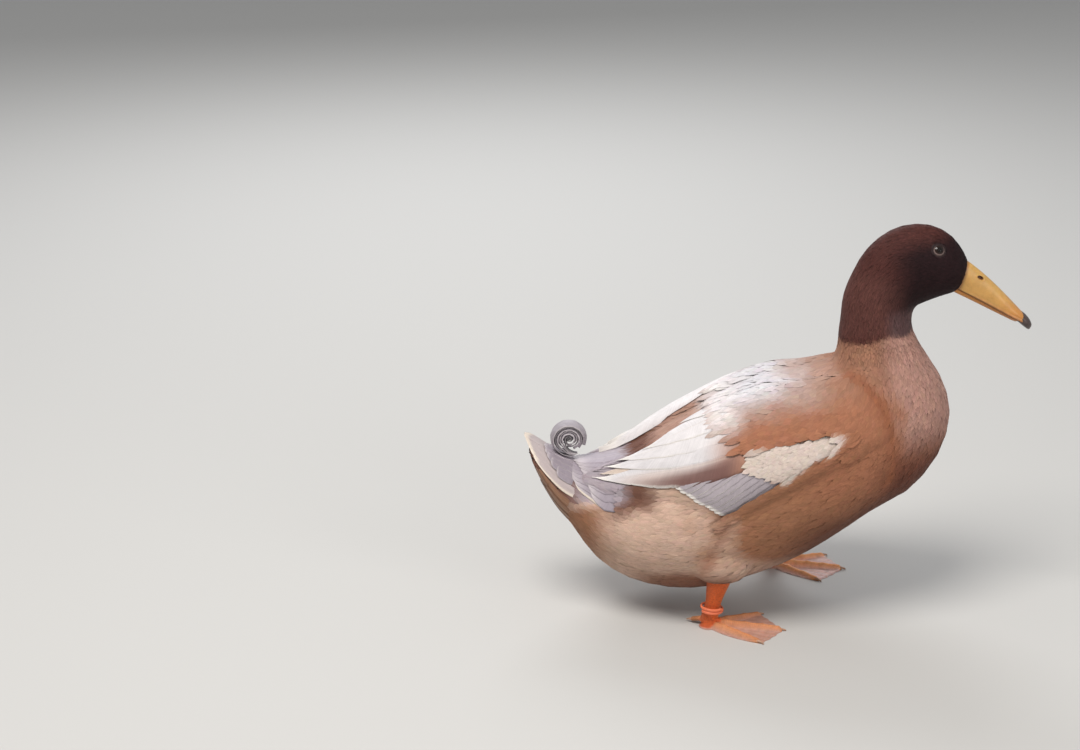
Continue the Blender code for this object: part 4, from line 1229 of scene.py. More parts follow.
def flank_roots(seed):
    """Places in rows below the wing's front edge, and how far each is from the edge in mm."""
    rng = np.random.default_rng(seed)
    step_x, step_angle = np.diff(WING_FRONT, axis=0).T
    run = np.cumsum(np.r_[0, np.hypot(step_x / MM, np.radians(step_angle) * BODY_RADIUS)])
    rows = []
    for off in (-11.0, -8.6, -6.4, -4.4, -2.6, -1.0, 0.2):
        at = np.arange(-8, run[-1] - 4, 2.7)
        at = at + rng.uniform(-1.2, 1.2, len(at))
        x = through(run, WING_FRONT[:, 0], at) - np.minimum(at, 0) * MM * 0.95
        angle = through(run, WING_FRONT[:, 1], at) - np.minimum(at, 0) * 0.25
        off_here = off + rng.uniform(-0.8, 0.8, len(at))
        angle = angle + np.degrees(0.95 * off_here / BODY_RADIUS)
        rows.append(np.stack([x - 0.3 * off_here * MM, angle, off_here], -1))
    return np.concatenate(rows)


def at_round_place(x, angle, side):
    """Points on the coat's surface from x and angle."""
    start = np.stack([x, side * np.cos(np.radians(angle)) * 0.16,
                      axis_height(x) + np.sin(np.radians(angle)) * 0.16], -1)
    aim = np.stack([x, 0 * x, axis_height(x)], -1)
    found = []
    for a, b in zip(start, aim):
        hit = outer.tree.ray_cast(Vector(a), Vector(b - a))
        found.append(hit[0] if hit[0] is not None else Vector(a))
    return np.array(found)


print("shoulder roots:", len(shoulder_roots(41)[0]), "and flank roots:", len(flank_roots(42)))

# %% [markdown]
# ## Laying them over the wing
# Each feather is told how far to lift off the skin: hardly at all at the front of the shoulder,
# and three and a half millimetres where it lies over the wing. The flank's feathers lift most
# at the wing's edge, and some long ones close the gap behind the wing.

# %% Shoulder, flank and rump feathers


def lifted_feathers(name, seed):
    """The shoulder and flank feathers of both sides, as one piece."""
    rng = np.random.default_rng(seed)
    shoulder, gap = shoulder_roots(seed)
    flank = flank_roots(seed + 1)
    places, lengths, widths, lifts = [], [], [], []
    for side in (-1, 1):
        places += [at_round_place(*shoulder.T, side), at_round_place(*flank.T[:2], side)]
        size = rng.uniform(0.9, 1.1, len(shoulder))
        back = fade(-shoulder[:, 0], -0.02, 0.02)
        lengths += [gap * (4.6 + 1.2 * back) * size * MM, rng.uniform(15, 20, len(flank)) * MM]
        widths += [gap * (1.95 - 0.4 * back) * size * MM, rng.uniform(3.8, 5.2, len(flank)) * MM]
        x, angle = shoulder.T
        low = fade(angle, 50, 40)
        high = fade(-x, -0.05 - 0.04 * low, -0.012 - 0.05 * low)
        over_wing = (2.1 + 1.25 * low * fade(-x, -0.012, 0.018) - 0.35 * back) * high
        lifts += [(0.25 + over_wing) * MM, (0.3 + 3.2 * fade(flank[:, 2], -11, -2.0)) * MM]
        rump = rng.uniform((-0.142, -6), (-0.114, 34), (230, 2))
        rump = rump[np.argsort(rump[:, 0])]
        places.append(at_round_place(rump[:, 0], rump[:, 1], side))
        lengths.append(rng.uniform(14, 19, len(rump)) * MM)
        widths.append(rng.uniform(4.5, 6.0, len(rump)) * MM)
        lifts.append((0.2 + 1.5 * fade(-rump[:, 0], 0.12, 0.142) * fade(rump[:, 1], 6, 20)) * MM)
    places, lengths, widths, lifts = (np.concatenate(part) for part in (places, lengths, widths, lifts))
    count = len(places)
    depth = np.minimum(lifts + 0.3 * MM, 2.0 * MM)
    return blades(name, places, lengths, widths, depth, np.full(count, 0.18 * MM), seed, 0.05,
                  np.full(count, 0.045), coat_finish, np.full(count, 0.05), lifts)


lifted_feathers("shoulder_feathers", 41)

# %% [markdown]
# ## The cream coverts
# Short cream feathers at the wing's bend hide the roots of the grey patch. Large slabs look
# like scales here, so these are small blades too, in close rows, and the coat's own colours
# tint them.

# %% Coverts at the wing's bend


def covert_feathers(name, seed):
    """The cream coverts at the wing's bend: short blades in close rows over the grey patch's roots."""
    rng = np.random.default_rng(seed)
    places, lifts = [], []
    for x in np.arange(-0.026, 0.07, 0.0026):
        low, top = (np.interp(x - 0.008, COVERT_X, edge) for edge in (COVERT_LOW, COVERT_TOP))
        for angle in np.arange(low + 0.8, top + 0.6, 1.9):
            places.append((x + rng.uniform(-1, 1) * MM, angle + rng.uniform(-0.8, 0.8)))
    places = np.array(places)
    lifts = (0.5 + 1.4 * fade(-places[:, 0], -0.062, -0.02)) * MM
    both = np.concatenate([at_round_place(places[:, 0], places[:, 1], side) for side in (-1, 1)])
    count = len(both)
    lifts = np.tile(lifts, 2)
    return blades(name, both, rng.uniform(12.0, 15.5, count) * MM, rng.uniform(4.4, 5.4, count) * MM,
                  np.minimum(lifts + 0.3 * MM, 2.0 * MM), np.full(count, 0.17 * MM), seed, 0.05,
                  np.full(count, 0.035), coat_finish, np.full(count, 0.03), lifts)


covert_feathers("covert_feathers", 43)

# %% [markdown]
# ## Large feathers
# The flight feathers, their coverts and the tail feathers are big enough to be modelled one by
# one: each is a thin closed slab with a crown across it, a raised shaft, a soft edge that has
# split here and there, and a rounded or pointed tip. A slab is two grids of points, the upper
# and the lower face, sewn together round the rim.

# %% One large feather as a slab
VANE_COLUMNS = 11
VANE_STEP = 1.5
RIM_THICK, SHAFT_THICK = 0.16 * MM, 0.5 * MM


def slab_faces(rows, columns):
    """Faces of a closed slab of two grids, upper points first, and which ones form its rim."""
    top = grid_faces(rows, columns)
    under = top[:, ::-1] + rows * columns
    border = np.r_[np.arange(columns - 1), np.arange(columns - 1, rows * columns - 1, columns),
                   np.arange(rows * columns - 1, (rows - 1) * columns, -1),
                   np.arange((rows - 1) * columns, 0, -columns)]
    following = np.roll(border, -1)
    n = rows * columns
    rim = np.stack([border, following, following + n, border + n], 1)
    in_rim = np.r_[np.zeros(len(top) + len(under), bool), np.ones(len(rim), bool)]
    return np.concatenate([top, under, rim]), in_rim


def vane_grid(length_mm, crowding=1.12):
    """Shares along a feather, a little closer at its tip, and shares across it from -1 to 1."""
    rows = int(length_mm / VANE_STEP) + 6
    along = (1 - (1 - np.linspace(0, 1, rows)) ** crowding)[:, None]
    return along, np.linspace(-1, 1, VANE_COLUMNS)[None, :]


def slab_thickness(q, k):
    """A slab is thickest at the shaft's root and thins out to its rim."""
    return RIM_THICK + (SHAFT_THICK - RIM_THICK) * (1 - np.abs(k)) * (1 - 0.6 * q)


def outline_width(q, kind):
    """Share of the full width at a share of the length, for a pointed, round or long feather."""
    start, power = {"pointed": (0.52, 1.25), "round": (0.74, 0.55), "long": (0.8, 0.62)}[kind]
    body = 0.45 + 0.55 * np.sin(np.clip(q / 0.34, 0, 1) * np.pi / 2)
    end = np.clip((q - start) / (1 - start), 0, 1)
    return body * np.maximum(1 - end ** (2 / power if kind != "pointed" else 1.7), 0.0) ** power


def split_edges(q, k, rng, count, length_mm):
    """Small splits where barbs have parted: how far the edge is drawn in, from 0 to 1."""
    drawn = np.zeros(np.broadcast_shapes(q.shape, k.shape))
    for _ in range(count):
        at, edge = rng.uniform(0.35, 0.97), rng.choice([-1, 1])
        wide = rng.uniform(0.6, 1.1) / length_mm
        slant = 2.2 / length_mm
        drawn = drawn + np.exp(-((q - at - slant * np.abs(k)) / wide) ** 2) * fade(k * edge, 0.45, 1.0)
    return np.clip(drawn, 0, 1)


class FeatherBundle:
    """Collects large feathers and makes them one piece, with tints, places and a bake map."""

    def __init__(self):
        self.points, self.faces, self.flat = [], [], []
        self.tints, self.places, self.cells = [], [], []
        self.count = 0

    def add(self, upper, lower, tints, place, mirrored):
        rows, columns = upper.shape[:2]
        faces, rim = slab_faces(rows, columns)
        if mirrored:
            faces = faces[:, ::-1]
        self.faces.append(faces + self.count)
        self.flat.append(rim)
        self.points += [upper.reshape(-1, 3), lower.reshape(-1, 3)]
        # The lower faces get the upper tint with painted shade, at eight tenths
        self.tints += [tints.reshape(-1, 3), tints.reshape(-1, 3) * 0.8]
        self.places += [place.reshape(-1, 3)] * 2
        q = np.broadcast_to(np.linspace(0, 1, rows)[:, None], (rows, columns)).ravel()
        k = np.broadcast_to(np.linspace(0, 1, columns)[None, :], (rows, columns)).ravel()
        self.cells.append(np.concatenate([np.stack([k * 0.45 + 0.02, q * 0.94 + 0.03], 1),
                                          np.stack([k * 0.45 + 0.52, q * 0.94 + 0.03], 1)]))
        self.count += 2 * rows * columns

    def piece(self, name, material, replaced=()):
        points, faces, flat = (np.concatenate(part) for part in (self.points, self.faces, self.flat))
        made = mesh_of(name, points, [faces], flat)
        give_tint(made, np.concatenate(self.tints))
        give_values(made, "place", np.concatenate(self.places))
        across = math.ceil(len(self.cells) ** 0.5)
        spots = [(cell + (i % across, i // across)) / across for i, cell in enumerate(self.cells)]
        give_bake_map(made, np.concatenate(spots))
        return finished(made, material, replaced)


print("a slab of 30 rows has", len(slab_faces(30, VANE_COLUMNS)[0]), "faces")

# %% [markdown]
# ## The folded wings
# From below: the long inner flight feathers close into a grey patch with white tips, under the
# cream coverts laid above, and broad pale tertials shut over the back like a lid. Every
# feather's way is given at its root, half way and at its tip, as x and an angle round the
# body. Lower feathers tuck their upper edge under the next one, as roof tiles do.

# %% Ways of the wing feathers
WING_WHITE = (0.8, 0.75, 0.7)
PATCH_LILAC = (0.4, 0.35, 0.375)
PATCH_DEEP = (0.31, 0.26, 0.285)
TERTIAL_CREAM = (0.62, 0.59, 0.6)
# Painted shade along the lower side of the lowest tertial
TERTIAL_PAINTED_SHADE = (0.15, 0.066, 0.055)
TERTIAL_TAN = (0.56, 0.42, 0.36)
TERTIAL_ORANGE = (0.4, 0.18, 0.105)
TERTIAL_LILAC = (0.74, 0.7, 0.7)
PRIMARY_BUFF = (0.62, 0.5, 0.42)

WING_TIERS = [
    dict(name="primary", count=4, first=[(-0.07, 32), (-0.115, 38), (-0.152, 46)],
         last=[(-0.08, 46), (-0.135, 54), (-0.172, 60)], wide=(12, 12), lift=(-1.0, -0.6),
         kind="pointed", tilt=0.25, dip=0.3, slant=0.0),
    dict(name="secondary", count=11, first=[(0.03, 24), (-0.012, 12.5), (-0.056, 1.0)],
         last=[(-0.03, 46), (-0.066, 35), (-0.099, 26.5)], wide=(14, 14), lift=(-0.8, -0.4),
         kind="long", tilt=0.38, dip=0.6, slant=0.5),
    dict(name="tertial", count=5, wide=(36, 26), lift=(0.2, 1.0),
         kind="pointed", tilt=0.22, dip=0.8, slant=0.0,
         ways=[[(0.0, 43), (-0.085, 37.5), (-0.1765, 57.5)],
               [(0.005, 53), (-0.082, 48.5), (-0.165, 65.0)], [(0.01, 61), (-0.075, 56), (-0.154, 67)],
               [(0.012, 69), (-0.065, 64), (-0.129, 65)], [(0.015, 76), (-0.05, 75), (-0.096, 72)]],
         # The far wing lies higher: its pale edge shows over the back
         left_ways=[[(0.0, 43), (-0.085, 37.5), (-0.1765, 57.5)],
                    [(0.005, 54), (-0.082, 50.5), (-0.17, 66)],
                    [(0.01, 61), (-0.078, 58), (-0.164, 70)],
                    [(0.012, 67), (-0.07, 63), (-0.16, 72)],
                    [(0.015, 73), (-0.064, 70.5), (-0.169, 77.5)]]),
]


print("feathers in a wing:", sum(tier["count"] for tier in WING_TIERS))

# %% [markdown]
# ## Colours and ways of wing feathers
# Grey patch feathers have a white tip, and some a white edge. The lowest tertial has painted
# shade along its lower side, a dark pink-brown, with a white rim, which is the line that the eye
# follows along a folded wing. A curve through three places bends every feather with the body.

# %% Tints and curves of wing feathers


def wing_tint(tier, f, q, k, own, x, angle):
    """One wing feather's colours. Across, k is -1 at the lower edge and 1 at the upper one."""
    if tier == "secondary":
        colour = plain(PATCH_LILAC, *x.shape)
        colour = tinted(colour, PATCH_DEEP, 0.6 * fade(k, -0.6, 0.3))
        start = 0.35 + 0.4 * own
        edge = fade(-k, 0.8, 0.93) * fade(q, start, start + 0.12) * (0.35 + 0.65 * own)
        edge = np.maximum(edge, fade(q, 0.945, 0.975))
        return tinted(colour, WING_WHITE, edge)
    if tier == "tertial":
        colour = plain(TERTIAL_CREAM, *x.shape)
        colour = tinted(colour, TERTIAL_LILAC, 0.75 * fade(f, 0.1, 0.4))
        lowest = f < 0.1
        tan = fade(-k, -0.6, 0.4) * fade(q, 0.05, 0.3) * fade(q, 0.95, 0.7) * lowest
        colour = tinted(colour, TERTIAL_TAN, 0.7 * tan)
        colour = tinted(colour, TERTIAL_ORANGE, 0.9 * fade(x, -0.08, -0.04) * fade(angle, 54, 44))
        # Painted shade along the lowest tertial's lower side
        painted_shade = fade(-k + 0.9 * (0.55 - q), -0.05, 0.55) * fade(q, 0.2, 0.34) * fade(q, 0.88, 0.52) * lowest
        colour = tinted(colour, TERTIAL_PAINTED_SHADE, 0.95 * painted_shade)
        rim = np.maximum(fade(-k, 0.9, 0.97) * fade(q, 0.5, 0.6), fade(q, 0.88, 0.96))
        return tinted(colour, WING_WHITE, rim)
    colour = plain(PRIMARY_BUFF, *x.shape)
    return tinted(colour, WING_WHITE, fade(-k, 0.75, 0.92))


def on_way(way, q):
    """Points and directions on the curve through a feather's three given places."""
    (x0, a0), (x1, a1), (x2, a2) = way
    p, m, r = (1 - q) * (1 - 2 * q), 4 * q * (1 - q), q * (2 * q - 1)
    run_x = (4 * q - 3) * x0 + (4 - 8 * q) * x1 + (4 * q - 1) * x2
    run_a = np.radians((4 * q - 3) * a0 + (4 - 8 * q) * a1 + (4 * q - 1) * a2) * BODY_RADIUS * MM
    long = np.hypot(run_x, run_a)
    return p * x0 + m * x1 + r * x2, p * a0 + m * a1 + r * a2, run_x / long, run_a / long


print("middle of the first tertial:", [round(v, 4) for v in on_way(WING_TIERS[2]["ways"][0], 0.5)[:2]])

# %% [markdown]
# ## Dressing a wing
# A vane is laid over the wing's own height, so that it follows the packed solid. It is tilted
# across, to tuck under the feather above, dips at its root and rises a little at its tip. The
# far wing's tertials rise more, because their pale edge shows over the back.

# %% One wing feather, and both wings


def wing_vane(tier, f, way, wide, lift, rise, side, rng):
    """One wing feather: upper and lower grids, tints and feather places."""
    (x0, a0), _, (x2, a2) = way
    length_mm = math.hypot((x2 - x0) / MM, math.radians(a2 - a0) * BODY_RADIUS) * 1.03
    q, k = vane_grid(length_mm)
    x, a, run_x, run_a = on_way(way, q)
    half = wide / 2 * MM * np.maximum(outline_width(q, tier["kind"]), 0.03)
    splits = split_edges(q, k, rng, int(length_mm / 16), length_mm)
    drawn_in = 0.05 if tier["name"] == "tertial" else 0.16
    reach = half * k * (1 - drawn_in * splits) * (1 + 0.02 * np.sin(q * 40 + f * 9))
    # The lower edge is k = -1 on both wings: across runs towards larger angles
    shear = tier["slant"] * reach * fade(q, 0.45, 1.0)
    px = x - run_a * reach * np.sign(run_x) + run_x * shear
    pa = a + np.degrees((run_x * np.sign(run_x) * reach + run_a * shear) / (BODY_RADIUS * MM))
    tip_rise = (0.35 + rise * q * (0.55 - 0.45 * k)) * MM * q
    height = wing_height(px, pa) + (lift * MM - tier["dip"] * MM * (1 - q) ** 3 + tip_rise)
    height = height - tier["tilt"] * MM * k - 0.03 * half * k**2
    height = height + 0.18 * MM * bell(k, 0, 0.09) * (1 - 0.7 * q)
    thick = slab_thickness(q, k)
    upper = wing_map.place(px, pa, height, side)
    lower = wing_map.place(px, pa, height - thick, side)
    own = rng.random()
    tints = wing_tint(tier["name"], f, q + 0 * k, k + 0 * q, own, px, pa)
    place = stacked(q * length_mm, k, own)
    return upper, lower, tints * (1 + rng.uniform(-0.035, 0.035)), place


def dress_wing(side, name, node):
    bundle = FeatherBundle()
    rng = np.random.default_rng(5)
    for tier in WING_TIERS:
        for i in range(tier["count"]):
            f = i / (tier["count"] - 1)
            shift = rng.uniform(-1, 1, 3)
            if "ways" in tier:
                way = tier["left_ways" if side > 0 else "ways"][i]
            else:
                way = [(between((start[0], end[0]), f) + 0.0012 * shift[0] * n / 2,
                        between((start[1], end[1]), f) + 0.6 * shift[1] * n / 2)
                       for n, (start, end) in enumerate(zip(tier["first"], tier["last"]))]
            rise = 5.0 * fade(f, 0.4, 1.0) if side > 0 and tier["name"] == "tertial" else 0.0
            wide = between(tier["wide"], f) * (1 - 0.035 * rise) * (1 + 0.04 * shift[2])
            vane = wing_vane(tier, f, way, wide, between(tier["lift"], f), rise, side, rng)
            bundle.add(*vane, mirrored=side > 0)
    return bundle.piece(name, vane_finish, (node,))


vane_finish = material_with_group(
    "large_feathers", barbs, {"Streak": 0.07, "Barb Width": 0.55, "Barb Depth": 0.32, "Shaft": 0.35},
    0.5, 0.00016,
    {"Sheen Weight": 0.1, "Sheen Roughness": 0.4, "Specular IOR Level": 0.35})
dress_wing(-1, "wing_feathers_right", "wing_right")
dress_wing(1, "wing_feathers_left", "wing_left")

# %% [markdown]
# ## The tail
# Stiff tail feathers fan from one side over the top to the other, cream at their edges. Broad
# lilac-grey coverts lie over their roots, rooted on the rump, and warm under-tail coverts close
# the fan from below. The same sizes that shape the tail's solids give the surface they lie on.

# %% Tail feathers
TAIL_CREAM = (0.8, 0.69, 0.58)
TAIL_LILAC = (0.335, 0.285, 0.325)
TAIL_PALE = (0.5, 0.42, 0.41)
UNDER_TAIL = (0.3, 0.155, 0.09)
TAIL_TIERS = [
    dict(name="under_covert", count=11, middle=180, spread=84, root=0.2, tip=3.9, earlier=0.9, wide=17,
         lift=-0.3),
    dict(name="under_covert", count=10, middle=180, spread=84, root=0.0, tip=2.6, earlier=0.6, wide=17,
         lift=0.2),
    dict(name="rectrix", count=14, middle=0, spread=68, root=0.7, tip=5.0, earlier=1.1, wide=14, lift=0.5),
    dict(name="upper_covert", count=9, middle=0, spread=46, root=0.0, tip=2.8, earlier=1.2, wide=17,
         lift=1.4),
]
RUMP_TIERS = [
    dict(count=8, first=[(-0.146, 27), (-0.168, 29), (-0.193, 36)],
         last=[(-0.15, 84), (-0.18, 84), (-0.214, 80)],
         wide=(17, 17), lift=(0.3, 0.6)),
    dict(count=8, first=[(-0.134, 24), (-0.155, 26), (-0.178, 32)],
         last=[(-0.134, 84), (-0.162, 84), (-0.194, 84)],
         wide=(17, 18), lift=(0.7, 1.0)),
]


def tail_axis(x):
    """Height of a line inside rump and tail, that the rump coverts' angles turn about."""
    return np.interp(x, (-0.24, -0.21, -0.19, -0.165, -0.12), (0.163, 0.13, 0.11, 0.096, 0.1))


rump_map = RoundMap(plain_surface.tree, tail_axis, (-0.222, -0.11), (-20, 90), (57, 56))
print("feathers in the tail:", sum(tier["count"] for tier in TAIL_TIERS + RUMP_TIERS * 2))

# %% [markdown]
# ## One tail feather
# Its root and tip are stations along the wedge and its place is an angle round it. The outer
# feathers are shorter than the middle one. Each row of feathers lies a little higher than
# the one before, and every feather tips sideways, so that the fan closes like a hand of cards.

# %% One tail feather


def tail_vane(tier, share, rng):
    """One feather of a tail tier, at a share from -1 to 1 of the tier's spread."""
    angle = tier["middle"] + share * tier["spread"]
    tip = tier["tip"] - tier["earlier"] * share**2 + rng.uniform(-0.05, 0.05)
    outer_one = fade(abs(share), 0.7, 1.0) * (tier["name"] == "rectrix")
    root = tier["root"] - 1.4 * outer_one
    rows = int(34 * (tip - root) / 4 + 12)
    q = (1 - (1 - np.linspace(0, 1, rows)) ** 1.15)[:, None]
    k = np.linspace(-1, 1, VANE_COLUMNS)[None, :]
    t = root + (tip - root) * q
    around = np.maximum(14 * MM, through(np.arange(len(TAIL)), TAIL[:, 4], t) * MM)
    half = tier["wide"] / 2 * MM * np.maximum(outline_width(q, "round"), 0.03)
    splits = split_edges(q, k, rng, 2, 60)
    across = np.degrees(half * k * (1 - 0.14 * splits) / around)
    outward = np.sign(share) if share else 1.0
    tuck = (2.2 - 1.2 * outer_one) * MM * (1 - q) ** 3
    tip_over = 0.35 * MM * k * outward * (-1 if tier["name"] == "under_covert" else 1)
    lift = tier["lift"] * MM + 1.0 * MM * (1 - abs(share)) + 0.6 * MM * q - tuck
    lift = lift - tip_over - 0.03 * half * k**2
    lift = lift + 0.15 * MM * bell(k, 0, 0.1)
    thick = slab_thickness(q, k)
    upper = tail_point(t, angle + across, lift)
    lower = tail_point(t, angle + across, lift - thick)
    shape = upper.shape[:2]
    if tier["name"] == "rectrix":
        tints = tinted(plain(TAIL_PALE, *shape), TAIL_CREAM,
                       np.maximum(fade(k * outward, 0.15, 0.8), fade(q, 0.8, 0.95)) + 0 * q)
    elif tier["name"] == "upper_covert":
        tints = tinted(plain(TAIL_LILAC, *shape), (0.62, 0.56, 0.56),
                       np.maximum(fade(np.abs(k), 0.75, 1.0) * 0.5, fade(q, 0.85, 1.0) * 0.6))
    else:
        tints = tinted(plain(UNDER_TAIL, *shape), TAIL_SHADE,
                       fade(np.abs(k), 0.4, 1.0) * 0.5 + 0 * q)
    place = stacked(q * 55, k, rng.random())
    return upper, lower, tints * (1 + rng.uniform(-0.04, 0.04)), place

# %% [markdown]
# ## Grey coverts of the rump
# These lie back from the rump over the roots of the tail. They use a table of distances of
# their own, because the line inside the body rises here towards the tail.

# %% Rump coverts, and the whole tail


def rump_vane(tier, f, side, rng):
    """One broad grey covert that grows on the rump and lies back over the tail."""
    way = [between((np.array(start), np.array(end)), f) for start, end in zip(tier["first"], tier["last"])]
    length_mm = (way[0][0] - way[2][0]) / MM * 1.05
    q, k = vane_grid(length_mm)
    x, a, run_x, run_a = on_way(way, q)
    half = between(tier["wide"], f) / 2 * MM * np.maximum(outline_width(q, "round"), 0.03)
    reach = half * k * (1 - 0.12 * split_edges(q, k, rng, 2, length_mm))
    pa = a + np.degrees(reach / (48 * MM))
    height = between(tier["lift"], f) * MM - 2.4 * MM * (1 - q) ** 3 + 0.7 * MM * q
    height = height - 0.35 * MM * k - 0.03 * half * k**2
    upper = rump_map.place(x + 0 * k, pa, height, side)
    lower = rump_map.place(x + 0 * k, pa, height - RIM_THICK - 0.2 * MM * (1 - np.abs(k)), side)
    tints = tinted(plain(TAIL_LILAC, *upper.shape[:2]), (0.58, 0.52, 0.53), fade(q, 0.7, 1.0) * 0.7 + 0 * k)
    lowest = f < 0.05 and tier["lift"][0] < 0.5
    tints = tinted(tints, TAIL_CREAM, lowest * fade(-k, 0.55, 0.85) * fade(q, 0.35, 0.6))
    place = stacked(q * length_mm, k, rng.random())
    return upper, lower, tints * (1 + rng.uniform(-0.04, 0.04)), place


def dress_tail():
    bundle = FeatherBundle()
    rng = np.random.default_rng(11)
    for tier in TAIL_TIERS:
        order = sorted(range(tier["count"]), key=lambda i: -abs(-1 + 2 * i / (tier["count"] - 1)))
        for i in order:
            bundle.add(*tail_vane(tier, -1 + 2 * i / (tier["count"] - 1), rng), mirrored=False)
    for tier in RUMP_TIERS:
        for i in range(tier["count"]):
            for side in (-1, 1):
                bundle.add(*rump_vane(tier, i / (tier["count"] - 1), side, rng), mirrored=side > 0)
    return bundle.piece("tail_feathers", vane_finish, ("tail",))


dress_tail()

# %% [markdown]
# ## The drake's curls
# Only drakes have them: a few feathers over the tail whose shafts roll forward and up into a
# spiral. Each is a slab whose middle line follows a spiral, with the vane bent in from its
# edges, so that from the side the rolls show as rings inside one another.

# %% Curls
CURL_CENTRE = np.array([-0.198, 0.0, 0.1662])
CURL_START = -62
CURL_LILAC = (0.4, 0.365, 0.4)
CURL_DARK = (0.38, 0.335, 0.36)
CURL_CONE = 1.5
CURL_COLUMNS, CURL_ROWS = 9, 110
# Radius at the start and end in mm, how far round in degrees, place across and width in mm
CURLS = [
    (17.2, 15.8, 322, -1.2, 11.0), (15.2, 13.6, 345, 1.6, 10.5), (13.2, 11.2, 365, -0.4, 10.0),
    (11.2, 8.8, 400, 0.9, 9.5), (8.8, 5.8, 440, -0.5, 8.5), (6.2, 2.6, 480, 0.4, 7.5),
    (3.6, 0.7, 540, -0.2, 6.5),
]


def curl_slab(start, end, sweep, across, wide, rng):
    q = np.linspace(0, 1, CURL_ROWS)[:, None]
    k = np.linspace(-1, 1, CURL_COLUMNS)[None, :]
    a = np.radians(CURL_START - sweep * q)
    root = np.clip(1 - q / 0.14, 0, 1)
    radius = start + (end - start) * q + (CURLS[0][0] - start) * root
    half = wide / 2 * np.minimum(1, 0.6 + 3 * q) * np.minimum(1, (1 - q) / 0.16 + 0.1)
    half = half * (1 - 0.1 * split_edges(q, k, rng, 6, 90) * np.abs(k))
    radius = radius - 0.55 * k**2 + 0.12 * np.sin(q * 61 + k * 3) + CURL_CONE * k * fade(q, 0.05, 0.2)
    points = []
    for edge in (0.42, -0.42):
        r = (radius + edge * (1.15 - 0.5 * np.abs(k))) * MM
        y = (across * (1 - root) + half * k) * MM
        points.append(CURL_CENTRE + stacked(np.cos(a) * r, y, np.sin(a) * r))
    tints = plain(CURL_LILAC, CURL_ROWS, CURL_COLUMNS)
    tints = tinted(tints, CURL_DARK, fade(np.abs(k), 0.2, 0.9) * 0.6 + 0 * q)
    tints = tinted(tints, (0.6, 0.55, 0.56), fade(np.abs(k), 0.86, 1.0) * 0.7 + 0 * q)
    # Painted light and shade: the middle rolls are lightened, and the innermost and the outer one darkened;
    # the inner rolls lie in the outer ones' shade
    painted_light_level = np.interp(start, (4, 6, 9, 13, 18), (0.35, 0.6, 1.15, 1.2, 0.8))
    return points[0], points[1], tints * painted_light_level, stacked(q * 90, k, rng.random())


def make_curls():
    bundle = FeatherBundle()
    rng = np.random.default_rng(21)
    for sizes in CURLS:
        bundle.add(*curl_slab(*sizes, rng), mirrored=False)
    return bundle.piece("curled_feathers", vane_finish, ("tail_curls",))


make_curls()

# %% [markdown]
# ## Horn and bare skin, as a second shared effect
# Bill, claws and legs are bare: horn with soft blotches and fine pores, and leg skin made of
# small scales. One group serves them all, with a scale size and depth that is nought on horn.

# %% The horn and skin group


def bare_group():
    """Blotches, pores and small scales on horn or leg skin."""
    group, start, end = new_group(
        "horn_and_leg_skin",
        [("Tint", "NodeSocketColor", None), ("Place", "NodeSocketVector", None),
         ("Mottle", "NodeSocketFloat", 0.15), ("Scale Size", "NodeSocketFloat", 1.4),
         ("Scale Depth", "NodeSocketFloat", 0.0), ("Pore Depth", "NodeSocketFloat", 0.2),
         ("Gloss", "NodeSocketFloat", 0.4)],
        [("Color", "NodeSocketColor"), ("Height", "NodeSocketFloat"), ("Roughness", "NodeSocketFloat")])
    w = Wiring(group)
    place = start.outputs["Place"]
    blotch = w.noise(place, 0.16, 4.0, 0.6)
    small = w.noise(place, 1.1, 3.0, 0.6)
    cells = w.node("ShaderNodeTexVoronoi", feature="DISTANCE_TO_EDGE")
    spread = w.node("ShaderNodeVectorMath", operation="SCALE")
    w.put(spread.inputs[0], place)
    w.put(spread.inputs["Scale"], w.math("DIVIDE", 1.0, start.outputs["Scale Size"]))
    w.put(cells.inputs["Vector"], spread.outputs[0])
    cells.inputs["Scale"].default_value = 1.0
    groove = w.ranged(cells.outputs["Distance"], 0.0, 0.16, 1.0, 0.0)
    scaled = w.times(groove, start.outputs["Scale Depth"])
    gain = w.times(w.plus(w.ranged(blotch, 0.3, 0.7, -1.0, 1.0),
                                     w.times(w.ranged(small, 0.3, 0.7, -1.0, 1.0), 0.4)),
                  start.outputs["Mottle"])
    total = w.plus(w.plus(1.0, gain), w.times(scaled, -0.3))
    tinted_by = w.node("ShaderNodeVectorMath", operation="SCALE")
    w.put(tinted_by.inputs[0], start.outputs["Tint"])
    w.put(tinted_by.inputs["Scale"], total)
    w.put(end.inputs["Color"], tinted_by.outputs[0])
    pores = w.times(w.noise(place, 3.1, 2.0, 0.5), start.outputs["Pore Depth"])
    w.put(end.inputs["Height"], w.math("SUBTRACT", pores, scaled))
    w.put(end.inputs["Roughness"], w.plus(start.outputs["Gloss"], w.times(small, 0.15)))
    return group


bare = bare_group()
print("group:", bare.name, "with", len(bare.interface.items_tree), "sockets")

# %% [markdown]
# ## Finishes of horn and bare skin
# The bill is a smooth warm horn, its nail a darker one. Leg and web skin are scaly and a
# little moist, the lids dull and fine, and the band is plain shiny plastic. They differ only
# in the values given to the one group.

